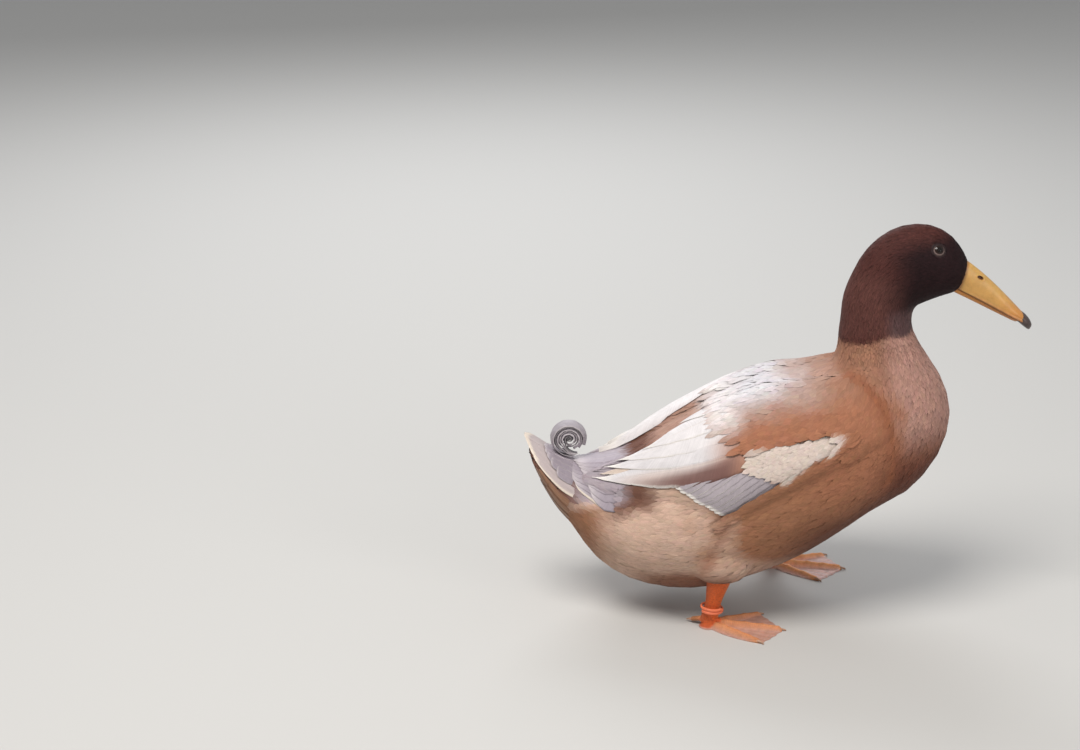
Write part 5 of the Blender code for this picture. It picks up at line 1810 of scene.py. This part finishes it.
# %% Finishes with the horn and skin group
# Mottle, scale size, scale depth, pore depth, gloss, relief in metres, specular and subsurface
BARE_FINISHES = {
    "bill": (0.1, 1.4, 0.0, 0.35, 0.3, 0.00012, 0.45, (0.08, 0.004)),
    "nail": (0.25, 1.4, 0.0, 0.3, 0.3, 0.0001, 0.45, (0.0, 0.004)),
    "leg": (0.12, 1.5, 1.0, 0.2, 0.38, 0.00022, 0.4, (0.08, 0.003)),
    "web": (0.14, 0.9, 0.5, 0.2, 0.42, 0.00018, 0.35, (0.08, 0.003)),
    "lid": (0.2, 0.5, 0.3, 0.3, 0.62, 0.0001, 0.3, (0.0, 0.003)),
    "band": (0.05, 1.4, 0.0, 0.2, 0.35, 0.0001, 0.45, (0.0, 0.003)),
}


def bare_finish(name):
    mottle, size, depth, pores, gloss, relief, specular, (under, reach) = BARE_FINISHES[name]
    values = {"Mottle": mottle, "Scale Size": size, "Scale Depth": depth, "Pore Depth": pores,
              "Gloss": gloss}
    settings = {"Specular IOR Level": specular}
    if under:
        settings.update({"Subsurface Weight": under, "Subsurface Scale": reach})
    return material_with_group(name + "_surface", bare, values, gloss, relief, settings)


bill_finish, nail_finish, leg_finish, web_finish, lid_finish, band_finish = map(bare_finish, BARE_FINISHES)
print("bare finishes:", bill_finish.name, leg_finish.name, web_finish.name)

# %% [markdown]
# ## A closed tube
# Bill, eyes, lids, shanks, claws and the band are all rings of points, one after another, with
# a flat end on each side. One helper makes them and turns their faces outwards.

# %% A tube of rings


def closed_tube(name, rows, tints, material, replaced=(), places=None):
    """A tube of closed rings with flat ends. Its places on the finish are millimetres unless given."""
    count, sides = rows.shape[:2]
    ends = [np.arange(sides)[None, ::-1], np.arange(sides)[None] + (count - 1) * sides]
    faces = [grid_faces(count, sides, closed=True)] + ends
    # Faces turn outwards when the tube's volume is positive
    a, b, c = (rows.reshape(-1, 3)[faces[0][:, k]] for k in range(3))
    inside = rows.mean(1, keepdims=True).repeat(sides, 1).reshape(-1, 3)[faces[0][:, 0]]
    if (np.cross(b - a, c - a) * (a - inside)).sum() < 0:
        faces = [f[:, ::-1] for f in faces]
    made = mesh_of(name, rows.reshape(-1, 3), faces)
    give_tint(made, tints.reshape(-1, 3))
    give_values(made, "place", (rows / MM if places is None else places).reshape(-1, 3))
    q, turn = np.linspace(0.03, 0.97, count)[:, None], np.linspace(0.03, 0.97, sides)[None]
    give_bake_map(made, stacked(q, turn).reshape(-1, 2))
    return finished(made, material, replaced)


print("a tube of 96 rings of 56 points has", len(grid_faces(96, 56, closed=True)), "quads")

# %% [markdown]
# ## The bill
# The upper bill is high at the face and flat at the tip, with a rolled edge along the mouth and
# a nostril that passes through it near the face. The lower bill is a shallow tray. The nail at
# the tip is the hard dark bean that a duck digs with.

# %% Sizes of the bill
GAPE = np.array([0.1688, 0.0, 0.316])
BILL_SLOPE = math.radians(28)
UPPER_LENGTH, LOWER_LENGTH, NAIL_LENGTH = 66 * MM, 63 * MM, 11 * MM
BASE_HEIGHT, TIP_HEIGHT, LOWER_THICK = 25.6 * MM, 6.0 * MM, 5.4 * MM
BILL_WIDTHS = np.array([(0.0, 11.4), (0.3, 10.8), (0.65, 12.2), (0.85, 11.9), (1.0, 9.8)])
FACE_TOP, FACE_LOW = np.array([0.173, 0.0, 0.343]), np.array([0.164, 0.0, 0.317])
BILL_YELLOW = (0.54, 0.295, 0.085)
BILL_ORANGE = (0.6, 0.25, 0.06)
BILL_PINK = (0.52, 0.215, 0.09)
# A painted highlight along the top of the bill
BILL_PAINTED_HIGHLIGHT = (0.62, 0.38, 0.11)
BILL_ROOT_BROWN = (0.3, 0.13, 0.05)
NOSTRIL_DARK = (0.11, 0.04, 0.022)
MOUTH_BROWN = (0.14, 0.055, 0.03)
NAIL_DARK = (0.075, 0.05, 0.045)
NAIL_PALE = (0.11, 0.075, 0.055)


def bill_place(along, y, up):
    """Points given along the bill, across and up from the mouth line."""
    c, s = math.cos(BILL_SLOPE), math.sin(BILL_SLOPE)
    along, y, up = np.broadcast_arrays(along, y, up)
    return GAPE + np.stack([along * c + up * s, y, up * c - along * s], -1)


def bill_frame(point):
    c, s = math.cos(BILL_SLOPE), math.sin(BILL_SLOPE)
    d = point - GAPE
    return d[0] * c - d[2] * s, d[0] * s + d[2] * c


def face_at(up):
    """How far along the bill the face's feathers end, at a height over the mouth line."""
    low, high = bill_frame(FACE_LOW), bill_frame(FACE_TOP)
    return low[0] + (high[0] - low[0]) * (up - low[1]) / (high[1] - low[1])


def bill_width(q):
    return through(BILL_WIDTHS[:, 0], BILL_WIDTHS[:, 1], q) * MM


print("the bill is", round(2 * bill_width(0.65) / MM, 1), "mm wide at its broadest")

# %% [markdown]
# ## The upper bill
# Each ring is an arch over the mouth line that starts where the face's feathers end. The
# arch is round at the face and flat at the tip. Lip, groove, nostril and the fine rings at
# the root are pushed into its sides.

# %% Upper bill


def make_upper_bill():
    # Rows lie closest round the nostril and at the tip
    q = np.r_[np.linspace(-0.08, 0.05, 12)[:-1], np.linspace(0.05, 0.36, 46)[:-1],
              np.linspace(0.36, 0.96, 56)[:-1], 0.96, 0.975, 0.988, 0.997, 1.0][:, None]
    a = np.pi * np.linspace(0, 1, 73)[None, :]
    flat = np.clip(q, 0, 1)
    tall = between((TIP_HEIGHT, BASE_HEIGHT), (1 - flat) ** 1.06) + 2.2 * MM * np.sin(np.pi * flat**0.8)
    dome = 1.0 - 0.35 * np.minimum(1.0, flat * 1.6)
    wide = bill_width(flat)
    shrink = 1 - 0.16 * np.clip((q - 0.96) / 0.04, 0, 1) ** 2
    sin, cos = np.sin(a), np.cos(a)
    up = tall * np.maximum(sin, 0) ** dome * shrink
    y = wide * np.sign(cos) * np.abs(cos) ** 0.8 * shrink
    start = face_at(up)
    along = start + (UPPER_LENGTH - start) * q
    # A rolled lip along the mouth, with a shallow groove over it
    lip_at = up / MM
    lip = 0.35 * bell(lip_at, 0.9, 0.9) - 0.3 * bell(lip_at, 2.7, 0.8)
    y = y + np.sign(cos) * MM * lip * fade(flat, 0.02, 0.1) * fade(flat, 1.0, 0.9)
    # The nostril: an oval pit with a low rim
    du, dv = (along - 8.0 * MM) / (3.4 * MM), (up - 18.4 * MM) / (1.6 * MM)
    oval = np.sqrt(du**2 + dv**2)
    y = y - np.sign(cos) * MM * (2.6 * fade(oval, 1.06, 0.66) - 0.35 * bell(oval, 1.28, 0.22))
    # Low ridges by the nostril and fine rings at the root
    y = y + np.sign(cos) * 0.08 * MM * np.sin(along / MM * 2.4 + up / MM * 0.5) * fade(flat, 0.22, 0.02)
    points = bill_place(along, y, up)
    tint = tinted(plain(BILL_YELLOW, *up.shape), BILL_ORANGE, fade(flat, 0.45, 0.95) * 0.9 + 0 * up)
    # A painted highlight along the upper part of the bill
    tint = tinted(tint, BILL_PAINTED_HIGHLIGHT, 0.4 * fade(up / tall, 0.55, 0.95) * fade(flat, 0.95, 0.5))
    tint = tinted(tint, BILL_PINK, 0.55 * bell(lip_at, 1.2, 1.3) * fade(flat, 0.1, 0.4))
    tint = tinted(tint, BILL_ROOT_BROWN, 0.75 * fade(flat, 0.035, 0.0) + 0 * up)
    tint = tinted(tint, NOSTRIL_DARK, fade(oval, 1.12, 0.72))
    tint = tinted(tint, MOUTH_BROWN, 0.7 * fade(lip_at, 0.35, 0.0))
    return closed_tube("upper_bill", points, tint, bill_finish, ("bill_upper",))


make_upper_bill()

# %% [markdown]
# ## The lower bill and the nail
# The lower bill is the same arch turned over, shallow, with two long ribs under it. The nail
# is a bean that hooks down over the tip of both.

# %% Lower bill and nail


def make_lower_bill():
    q = np.linspace(-0.08, 1, 60)[:, None]
    a = np.pi * np.linspace(0, 1, 41)[None, :]
    flat = np.clip(q, 0, 1)
    wide = bill_width(flat) * (0.86 - 0.1 * flat) * (1 - 0.28 * fade(flat, 0.88, 1.0))
    thick = LOWER_THICK * (1 - 0.35 * flat) * (1 - 0.5 * fade(flat, 0.94, 1.0))
    up = -0.35 * MM - thick * np.maximum(np.sin(a), 0) ** 0.7
    # Two long ribs with a softer middle between them
    up = up + 0.55 * MM * bell(np.cos(a), 0, 0.33) * fade(flat, 0.02, 0.2) * fade(flat, 0.95, 0.7)
    start = face_at(up)
    along = start + (LOWER_LENGTH - start) * q
    points = bill_place(along, wide * np.cos(a), up)
    tint = tinted(plain(BILL_ORANGE, *up.shape), BILL_PINK, 0.6 * fade(flat, 0.2, 0.9) + 0 * up)
    tint = tinted(tint, MOUTH_BROWN, 0.8 * fade(-up / MM, 1.3, 0.4))
    return closed_tube("lower_bill", points, tint, bill_finish, ("bill_lower",))


def make_nail():
    q = np.linspace(0, 1, 26)[:, None]
    a = 2 * np.pi * np.linspace(0, 1, 33)[None, :-1]
    end = np.sqrt(np.maximum(1 - np.clip((q - 0.35) / 0.66, 0, 1) ** 2.2, 0.0004))
    wide = 10.2 * MM * end * (0.86 + 0.14 * np.minimum(1, q / 0.12))
    tall = 4.9 * MM * (0.35 + 0.65 * end) * (0.84 + 0.16 * np.minimum(1, q / 0.1))
    drop = 4.6 * MM * np.clip(q, 0, 1) ** 1.8
    along = UPPER_LENGTH - 7.5 * MM + (NAIL_LENGTH + 7.1 * MM) * q
    up = 2.7 * MM - drop + tall * np.sin(a)
    points = bill_place(along, wide * np.sign(np.cos(a)) * np.abs(np.cos(a)) ** 0.85, up)
    tint = tinted(plain(NAIL_DARK, *up.shape), NAIL_PALE, 0.6 * fade(q, 0.3, 0.0) + 0 * a)
    return closed_tube("nail", points, tint, nail_finish, ("bill_nail",))


make_lower_bill()
make_nail()

# %% [markdown]
# ## Eyes and lids
# The eye is a ball of which only a small round shows. The lids are a soft fold of bare skin
# round it: they come up from under the face's feathers, roll over at the rim and turn in
# against the ball. The lower lid shows as a thin paler arc.

# %% The eye's directions and finish
IRIS_BROWN = (0.022, 0.01, 0.007)
PUPIL = (0.004, 0.003, 0.003)
LID_DARK = (0.022, 0.01, 0.01)
LID_PALE = (0.24, 0.165, 0.148)
EYE_OPENING = (4.2 * MM, 3.5 * MM)


def eye_frame(side, centre):
    """Outward, forward and upward directions of one eye, from the face round it."""
    away = outer.points - centre
    gap = np.linalg.norm(away, axis=1)
    round_it = (gap > 8.5 * MM) & (gap < 13 * MM) & (away[:, 1] * side > -2 * MM)
    out = unit(outer.normals[round_it].mean(0))
    forward = unit(np.array([1.0, 0, 0]) - out * out[0])
    up = np.cross(out, forward)
    return out, forward, up * np.sign(up[2])


def eye_material():
    material = bpy.data.materials.new("eye_surface")
    material.use_nodes = True
    w = Wiring(material.node_tree)
    shader = material.node_tree.nodes["Principled BSDF"]
    tint = w.node("ShaderNodeAttribute", attribute_name="tint")
    place = w.node("ShaderNodeAttribute", attribute_name="place")
    rays = w.noise(place.outputs["Vector"], 1.4, 3.0, 0.6)
    scaled = w.mixed(w.times(rays, 0.5), tint.outputs["Color"], (0.02, 0.01, 0.006, 1))
    w.put(shader.inputs["Base Color"], scaled)
    for label, value in {"Roughness": 0.1, "Specular IOR Level": 0.35}.items():
        shader.inputs[label].default_value = value
    return material


print("the right eye looks towards", eye_frame(-1, eyes[0])[0].round(2))

# %% [markdown]
# ## Eyeball
# Rings round the eye's own outward line, so that pupil and iris are zones of the same mesh.
# A slight bulge in front stands for the cornea and catches the light.

# %% Eyeball


def make_eye(name, side, centre):
    out, forward, up = eye_frame(side, centre)
    polar = np.pi * np.linspace(0, 1, 41)[1:-1, None]
    turn = 2 * np.pi * np.linspace(0, 1, 49)[None, :-1]
    away = np.sin(polar) * EYE_RADIUS
    bulge = EYE_RADIUS * np.cos(polar) + 0.25 * MM * bell(away, 0, 2.6 * MM) * (np.cos(polar) > 0)
    ahead, aloft = away * np.cos(turn), away * np.sin(turn)
    points = centre + out * bulge[..., None] + forward * ahead[..., None] + up * aloft[..., None]
    pupil = fade(away, 2.9 * MM, 2.5 * MM) * (np.cos(polar) > 0) + 0 * turn
    tint = tinted(plain(IRIS_BROWN, *pupil.shape), PUPIL, pupil)
    tint = tinted(tint, PUPIL, fade(away, 4.6 * MM, 5.2 * MM) + 0 * turn)
    place = stacked(np.cos(turn) * 6, np.sin(turn) * 6, away / MM * 0.25)
    return closed_tube(name + "_ball", points, tint, eye_finish, (name,), place)

# %% [markdown]
# ## Lids
# Eleven rings run from under the feathers to the ball. Their lift over the face rises to the
# soft fold and turns in again. A fine ripple round the fold gives the little creases.

# %% Lids, and both eyes


def make_lids(name, side, centre):
    """The fold of skin round one eye, from under the feathers to the ball."""
    out, forward, up = eye_frame(side, centre)
    turn = 2 * np.pi * np.linspace(0, 1, 73)[None, :-1]
    reach = np.array([9.4, 8.4, 7.6, 6.9, 6.3, 5.8, 5.4, 5.15, 5.0, 4.95, 5.0])[:, None]
    lift = np.array([-1.2, -0.5, 0.05, 0.35, 0.55, 0.62, 0.55, 0.35, 0.1, -0.3, -0.9])[:, None]
    over = np.linspace(0, 1, len(reach))[:, None]
    wide = reach * MM * (1 + over * (EYE_OPENING[0] / (5.0 * MM) - 1))
    high = reach * MM * (1 + over * (EYE_OPENING[1] / (5.0 * MM) - 1)) + 0 * turn
    flatplane = (forward * (wide * np.cos(turn))[..., None] + up * (high * np.sin(turn))[..., None])
    gap = np.linalg.norm(flatplane, axis=-1)
    ball = centre + flatplane + out * np.sqrt(np.maximum(EYE_RADIUS**2 - gap**2, 0))[..., None]
    spots, normals = outer.nearest((centre + flatplane + out * 5.0 * MM).reshape(-1, 3))
    spots, normals = spots.reshape(ball.shape), normals.reshape(ball.shape)
    share = fade(gap, 6.4 * MM, 5.2 * MM)[..., None]
    base = spots * (1 - share) + ball * share
    ripple = 0.06 * np.sin(turn * 22 + over * 5) * bell(over, 0.45, 0.2)
    thick = lift * (1 + 0.25 * np.sin(turn)) + ripple
    direction = normals * (1 - share) + out * share
    points = base + direction * (thick * MM)[..., None] * np.where(lift < 0, 1.0, 0.8)[..., None]
    lower_arc = bell(over, 0.6, 0.12) * fade(-np.sin(turn), -0.1, 0.5) * 0.9
    tint = tinted(plain(LID_DARK, *lower_arc.shape), LID_PALE, lower_arc)
    tint = tinted(tint, LID_PALE, 0.75 * bell(over, 0.62, 0.1) * np.abs(np.cos(turn)) ** 6)
    tint = tinted(tint, PUPIL, fade(over, 0.82, 0.95) + 0 * turn)
    return closed_tube(name, points, tint, lid_finish)


eye_finish = eye_material()
for side, node, centre in ((-1, "eye_right", eyes[0]), (1, "eye_left", eyes[1])):
    make_eye(node, side, centre)
    make_lids(node + "_lids", side, centre)

# %% [markdown]
# ## Legs and feet
# The bare leg has broad plates down its front and small scales behind. The foot is shaped as
# heights over the floor, measured round the ankle: three toes with a swelling at every joint and
# plates across the top, a web hung between them that sags and puckers, and the ankle's dome.
# Claws and hind toe are their own pieces, as horn differs from skin.

# %% Sizes of legs and feet
# Painted light: the far foot's tints are lightened half as much again, and its web tint is a cooler, paler
# copy of the near one's, as the web looks in shade
LEGS = {
    "right": dict(hock=(-0.055, -0.0685, 0.045), ankle=(-0.065, -0.0665, 0.01), heading=-9,
                  out=-1, painted_light_level=1.0, web=(0.54, 0.3, 0.235)),
    "left": dict(hock=(-0.019, 0.068, 0.048), ankle=(0.009, 0.075, 0.01), heading=-8,
                 out=1, painted_light_level=1.5, web=(0.5, 0.35, 0.32)),
}
SHANK_DEPTH, SHANK_WIDTH = 15.6 * MM, 10.2 * MM
# Toes: angle from the heading, length and radius in mm, and how far out their joints are
TOES = [(31, 60, 4.0, (18, 34, 47)), (0, 70, 4.4, (17, 35, 51)), (-34, 57, 3.8, (20, 39))]
WEB_BACK = math.radians(64)
LEG_ORANGE = (0.7, 0.125, 0.024)
LEG_PALE = (0.7, 0.27, 0.11)
TOE_ORANGE = (0.66, 0.265, 0.11)
CLAW_HORN = (0.52, 0.3, 0.2)
GROOVE_BROWN = (0.26, 0.07, 0.03)
HEEL_BROWN = (0.3, 0.1, 0.05)
TOE_GROOVE = (0.34, 0.1, 0.035)
WEB_LINE = (0.42, 0.16, 0.09)


print("toes in mm:", [toe[1] for toe in TOES])

# %% [markdown]
# ## The shank
# A leaning oval tube, widest at the hock. Its front has plates, each a little higher at its
# upper edge, and behind runs the tendon with a hollow on either side.

# %% Shank


def make_leg(name, leg):
    hock, ankle = np.array(leg["hock"]), np.array(leg["ankle"])
    low = np.array([ankle[0], ankle[1], 6.0 * MM])
    high = np.array([hock[0], hock[1], hock[2] + 9.0 * MM])
    count, sides = 96, 56
    q = np.linspace(0, 1, count)[:, None]
    turn = 2 * np.pi * np.arange(sides)[None, :] / sides
    middle = low + (high - low) * q[..., None]
    share = np.array([0, 0.12, 0.3, 0.5, 0.68, 0.85, 1.0])
    swell = through(share, np.array([1.1, 1.04, 0.96, 1.03, 1.24, 1.42, 1.45]), q)
    along = q * (high[2] - low[2]) / MM
    front = np.cos(turn)
    # Plates down the front, each a little higher at its upper edge
    beat = (along / 3.1) % 1.0
    plate = (0.26 * fade(beat, 0.0, 0.2) * (1 - 0.35 * beat) - 0.2) * fade(front, 0.45, 0.72)
    hollow = 0.45 * bell(np.abs(turn - np.pi), 0.95, 0.3) * fade(q, 0.95, 0.6)
    tendon = 0.35 * bell(turn, np.pi, 0.42) - hollow
    radius_x = SHANK_DEPTH / 2 * swell + (plate + tendon) * MM
    radius_y = SHANK_WIDTH / 2 * swell + (plate + tendon) * MM
    x, y = radius_x * front, radius_y * np.sin(turn) * leg["out"]
    points = middle + stacked(x, y, 0.0)
    tint = plain(LEG_ORANGE, count, sides)
    tint = tinted(tint, LEG_PALE, 0.45 * fade(front, 0.55, 0.9) * fade(beat, 0.1, 0.5))
    tint = tinted(tint, GROOVE_BROWN, 0.8 * fade(front, 0.35, 0.65) * fade(beat, 0.2, 0.0))
    tint = tinted(tint, HEEL_BROWN, 0.35 * fade(-front, 0.5, 1.0) + 0 * q)
    place = stacked(along, turn * 5.8, 0.5)
    return closed_tube(name + "_skin", points, tint, leg_finish, (name,), place)

# %% [markdown]
# ## The foot's edge
# Seen from above, the foot reaches out to each toe's end, and its web hangs between two toes
# a little hollow, like cloth between fingers.

# %% The foot's edge


def foot_edge(angle):
    """How far the foot reaches from the ankle at an angle: to each toe's end, hollow between toes."""
    toes = sorted((math.radians(t[0]), t[1] * MM) for t in TOES)
    reach = np.full(angle.shape, 9.2 * MM)
    for (a, ra), (b, rb) in zip(toes, toes[1:]):
        f = np.clip((angle - a) / (b - a), 0, 1)
        past, ahead = (np.clip(turn, 0, b - a) for turn in (angle - a, b - angle))
        chord = ra * rb * math.sin(b - a) / (ra * np.sin(past) + rb * np.sin(ahead))
        hollow = chord * (1 + 0.02 * np.sin(np.pi * f) ** 0.9 + 0.008 * np.sin(f * 23))
        reach = np.where((angle >= a) & (angle <= b), hollow, reach)
    for sign, (a, ra) in ((-1, toes[0]), (1, toes[-1])):
        f = np.clip((sign * angle - sign * a) / (WEB_BACK - sign * a), 0, 1)
        beyond = sign * angle > sign * a
        reach = np.where(beyond, ra * (1 - f) ** 1.9 + 9.2 * MM * (1 - (1 - f) ** 1.9), reach)
    return reach


def soft_max(a, b, width):
    h = np.clip(0.5 + 0.5 * (a - b) / width, 0, 1)
    return b + (a - b) * h + width * h * (1 - h) * 0.5


print("the foot reaches", (foot_edge(np.array([0.0])) / MM).round(1), "mm ahead of the ankle")

# %% [markdown]
# ## The foot's skin
# Rows run out from the ankle to the edge and columns run round it. Every point gets a height
# over the floor from toes, web and the ankle's dome, whichever is highest there, with a soft
# passage from one to the other.

# %% Foot


def make_foot(name, leg):
    """The foot's skin: rows run out from the ankle to the edge, columns run round it."""
    ankle, out = np.array(leg["ankle"]), leg["out"]
    count, turns = 84, 300
    # More columns forwards, where the toes are
    lane = np.linspace(-1, 1, turns + 1)[None, :-1]
    angle = np.pi * (0.4 * lane + 0.6 * lane**5)
    edge = foot_edge(angle)
    step = np.linspace(0, 1, count)[:, None] ** 0.95
    r = edge * step
    heading = math.radians(leg["heading"]) + out * angle
    x, y = r * np.cos(heading), r * np.sin(heading)
    ahead = r * np.cos(angle) / MM
    aside = r * np.sin(angle) / MM
    shape = r.shape
    web = np.full(shape, 1.15)
    toe_share = np.zeros(shape)
    plates = np.zeros(shape)
    for toe_angle, length, radius, joints in TOES:
        t = math.radians(toe_angle)
        run = r / MM * np.cos(angle - t)
        off = r / MM * np.sin(angle - t)
        run_share = np.clip(run / length, 0, 1)
        knuckle = sum(bell(run, j, 2.6) for j in joints)
        thick = 2 * radius * (1 - 0.45 * run_share) * (1 + 0.1 * knuckle)
        wide = radius * (1.1 - 0.4 * run_share) * (1 + 0.08 * knuckle)
        fall = 1 - fade(run, length - 3.5, length + 0.5) * 0.55
        ridge = thick * np.exp(-np.abs(off / wide) ** 2.5) * (run > -2) * fall
        beat = (run / 1.9) % 1.0
        on_top = np.exp(-np.abs(off / (wide * 0.62)) ** 4) * (run > 3) * fade(run, length, length - 3)
        ridge = ridge - 0.16 * on_top * fade(beat, 0.2, 0.0) - 0.16 * on_top * fade(beat, 0.8, 1.0)
        web = np.maximum(web, ridge)
        toe_share = np.maximum(toe_share, np.exp(-np.abs(off / (wide * 1.05)) ** 4) * (run > -2))
        plates = np.maximum(plates, on_top * np.maximum(fade(beat, 0.2, 0.0), fade(beat, 0.8, 1.0)))
    # The web sags between the toes and puckers along lines from the ankle
    folds = 0.1 * np.sin(angle * 46 + 0.25 * np.sin(r / MM * 0.5))
    folds = folds + 0.16 * np.sin(angle * 19 + r / MM * 0.12)
    web = web + folds * (1 - toe_share) * fade(r / MM, 8, 20) * fade(step, 1.0, 0.93)
    hem = 0.35 * bell(step, 0.965, 0.02) * fade(np.abs(angle), WEB_BACK, 0.6)
    web = web + hem * (1 - toe_share)
    dome_x = 2.2 * math.cos(math.radians(leg["heading"]))
    dome = np.sqrt((x / MM - dome_x) ** 2 / 9.6**2 + (y / MM) ** 2 / 6.9**2)
    bump = 12.4 * np.maximum(1 - np.clip(dome, 0, 1) ** 2.6, 0) ** 0.55
    height = soft_max(web, bump, 1.6)
    rim = np.clip((1 - step) / 0.02, 0, 1)
    height = height * (0.25 + 0.75 * np.sqrt(rim))
    top = ankle * [1, 1, 0] + np.stack([x, y, height * MM], -1)
    low_edge = ankle * [1, 1, 0] + np.stack([x[-1], y[-1], 0 * x[-1]], -1)
    points = np.concatenate([top.reshape(-1, 3), low_edge])
    rim_start = (count - 1) * turns
    i = np.arange(turns)
    j = (i + 1) % turns
    side = np.stack([rim_start + i, rim_start + j, count * turns + j, count * turns + i], 1)
    sole = (count * turns + i)[None, ::-1]
    faces = [grid_faces(count, turns, closed=True), side, sole]
    a, b, c = (points[faces[0][:, k]] for k in range(3))
    if np.cross(b - a, c - a)[:, 2].sum() < 0:
        faces = [f[:, ::-1] for f in faces]
    made = mesh_of(name + "_skin", points, faces, np.r_[np.zeros(len(faces[0]) + len(side), bool), True])
    tint = tinted(plain(leg["web"], *shape), TOE_ORANGE, toe_share)
    tint = tinted(tint, TOE_GROOVE, 0.55 * plates)
    lines = fade(np.sin(angle * 46), 0.2, 1.0) * (1 - toe_share) * fade(r / MM, 10, 24)
    tint = tinted(tint, WEB_LINE, 0.3 * lines)
    tint = tinted(tint, LEG_ORANGE, fade(dome, 1.25, 0.9))
    # Painted light: the far foot is lightened by its painted light level
    tint = np.clip(tint.reshape(-1, 3) * leg["painted_light_level"], 0, 0.85)
    # Painted shade: the foot's lower edge and sole take the rim's tint at six tenths
    give_tint(made, np.concatenate([tint, tint[-turns:] * 0.6]))
    place = np.stack([x / MM, y / MM, height * 0.6], -1).reshape(-1, 3)
    give_values(made, "place", np.concatenate([place, place[-turns:]]))
    flatmap = 0.5 + np.stack([ahead - 28, aside], -1).reshape(-1, 2) / 110
    give_bake_map(made, np.concatenate([flatmap, flatmap[-turns:]]))
    return finished(made, web_finish, (name,))

# %% [markdown]
# ## Claws and hind toes
# Both are small bent rods with a round end. A claw droops and is narrower than it is high.
# With them the legs are complete, so both are made here.

# %% Claws, hind toes and both legs


def rod(name, start, end, r0, r1, material, tint, droop=0.0, flat=1.0):
    """A tapering bent rod with a round end, for claws and hind toes."""
    start, end = np.array(start), np.array(end)
    way = unit(end - start)
    side = unit(np.cross([0, 0, 1.0], way))
    up = np.cross(way, side)
    q = np.r_[np.linspace(0, 0.9, 22), 0.94, 0.97, 0.99, 1.0][:, None]
    turn = 2 * np.pi * np.arange(20)[None, :] / 20
    length = np.linalg.norm(end - start)
    radius = r0 + (r1 - r0) * q
    radius = radius * np.sqrt(np.maximum(1 - np.clip((q * length - (length - r1)) / r1, 0, 1) ** 2, 0.01))
    middle = start + (end - start) * q[..., None] + np.array([0, 0, -1.0]) * (droop * q**2)[..., None]
    aside, above = radius * np.cos(turn) * flat, radius * np.sin(turn)
    points = middle + side * aside[..., None] + up * above[..., None]
    points[..., 2] = np.maximum(points[..., 2], 0.0001)
    tints = np.tile(tint, (*points.shape[:2], 1)) * (1.15 - 0.5 * q)[..., None]
    return closed_tube(name, points, tints, material)


for side_name, leg in LEGS.items():
    make_leg("shank_" + side_name, leg)
    make_foot("foot_" + side_name, leg)
    ankle, out = np.array(leg["ankle"]), leg["out"]
    heading = math.radians(leg["heading"])
    for number, (toe_angle, length, radius, _) in enumerate(TOES, 1):
        a = heading + out * math.radians(toe_angle)
        way = np.array([math.cos(a), math.sin(a), 0.0])
        root = ankle * [1, 1, 0] + way * (length - 5.0) * MM + np.array([0, 0, 2.3 * MM])
        rod(f"claw_{side_name}_{number}", root, root + way * 9.0 * MM, 1.75 * MM, 0.7 * MM, nail_finish,
            CLAW_HORN, droop=1.5 * MM, flat=0.75)
    back = np.array([-math.cos(heading), -math.sin(heading), 0.0])
    start = ankle * [1, 1, 0] + back * 1.0 * MM + np.array([0, 0, 8.6 * MM])
    way = unit(back * 0.9 + np.array([0, -out * 0.35, 0]))
    end = start + way * 17.5 * MM - np.array([0, 0, 5.0 * MM])
    rod("hind_toe_" + side_name, start, end, 2.9 * MM, 2.1 * MM, leg_finish, TOE_ORANGE)
    rod("hind_claw_" + side_name, end - way * 1.5 * MM, end + way * 5.0 * MM, 1.6 * MM, 0.6 * MM,
        nail_finish, CLAW_HORN, droop=1.4 * MM, flat=0.8)

# %% [markdown]
# ## The leg band
# A plain coil of red plastic hangs loose above the near foot: a flat strip with round edges,
# wound a little more than once, so that its two ends lie over each other.

# %% Leg band
BAND_RADIUS = 10.4 * MM
BAND_TURNS, BAND_PITCH = 1.34, 3.1 * MM
BAND_HEIGHT = 19.5 * MM
BAND_RED = (0.8, 0.19, 0.085)


def make_band():
    leg = LEGS["right"]
    hock, ankle = np.array(leg["hock"]), np.array(leg["ankle"])
    centre = between((ankle, hock), (BAND_HEIGHT - ankle[2]) / (hock[2] - ankle[2]))
    tilt = math.radians(7)
    count, sides = 150, 18
    q = np.linspace(0, 1, count)[:, None]
    turn = 2 * np.pi * np.arange(sides)[None, :] / sides
    a = math.radians(205) + 2 * np.pi * BAND_TURNS * q
    end = np.sqrt(np.clip(np.minimum(q, 1 - q) / 0.012, 0.04, 1))
    half_high = 1.35 * MM * np.sign(np.sin(turn)) * np.abs(np.sin(turn)) ** 0.7 * end
    half_deep = 0.95 * MM * np.sign(np.cos(turn)) * np.abs(np.cos(turn)) ** 0.7 * end
    radius = BAND_RADIUS + half_deep + 0.25 * MM * np.sin(2 * a)
    rise = (q - 0.5) * BAND_TURNS * BAND_PITCH + half_high
    x, y, z = np.cos(a) * radius, np.sin(a) * radius, rise
    c, s = math.cos(tilt), math.sin(tilt)
    points = centre + stacked(x * c + z * s, y, z * c - x * s)
    tint = plain(BAND_RED, count, sides)
    return closed_tube("coil_band", points, tint, band_finish, ("leg_band",))


make_band()
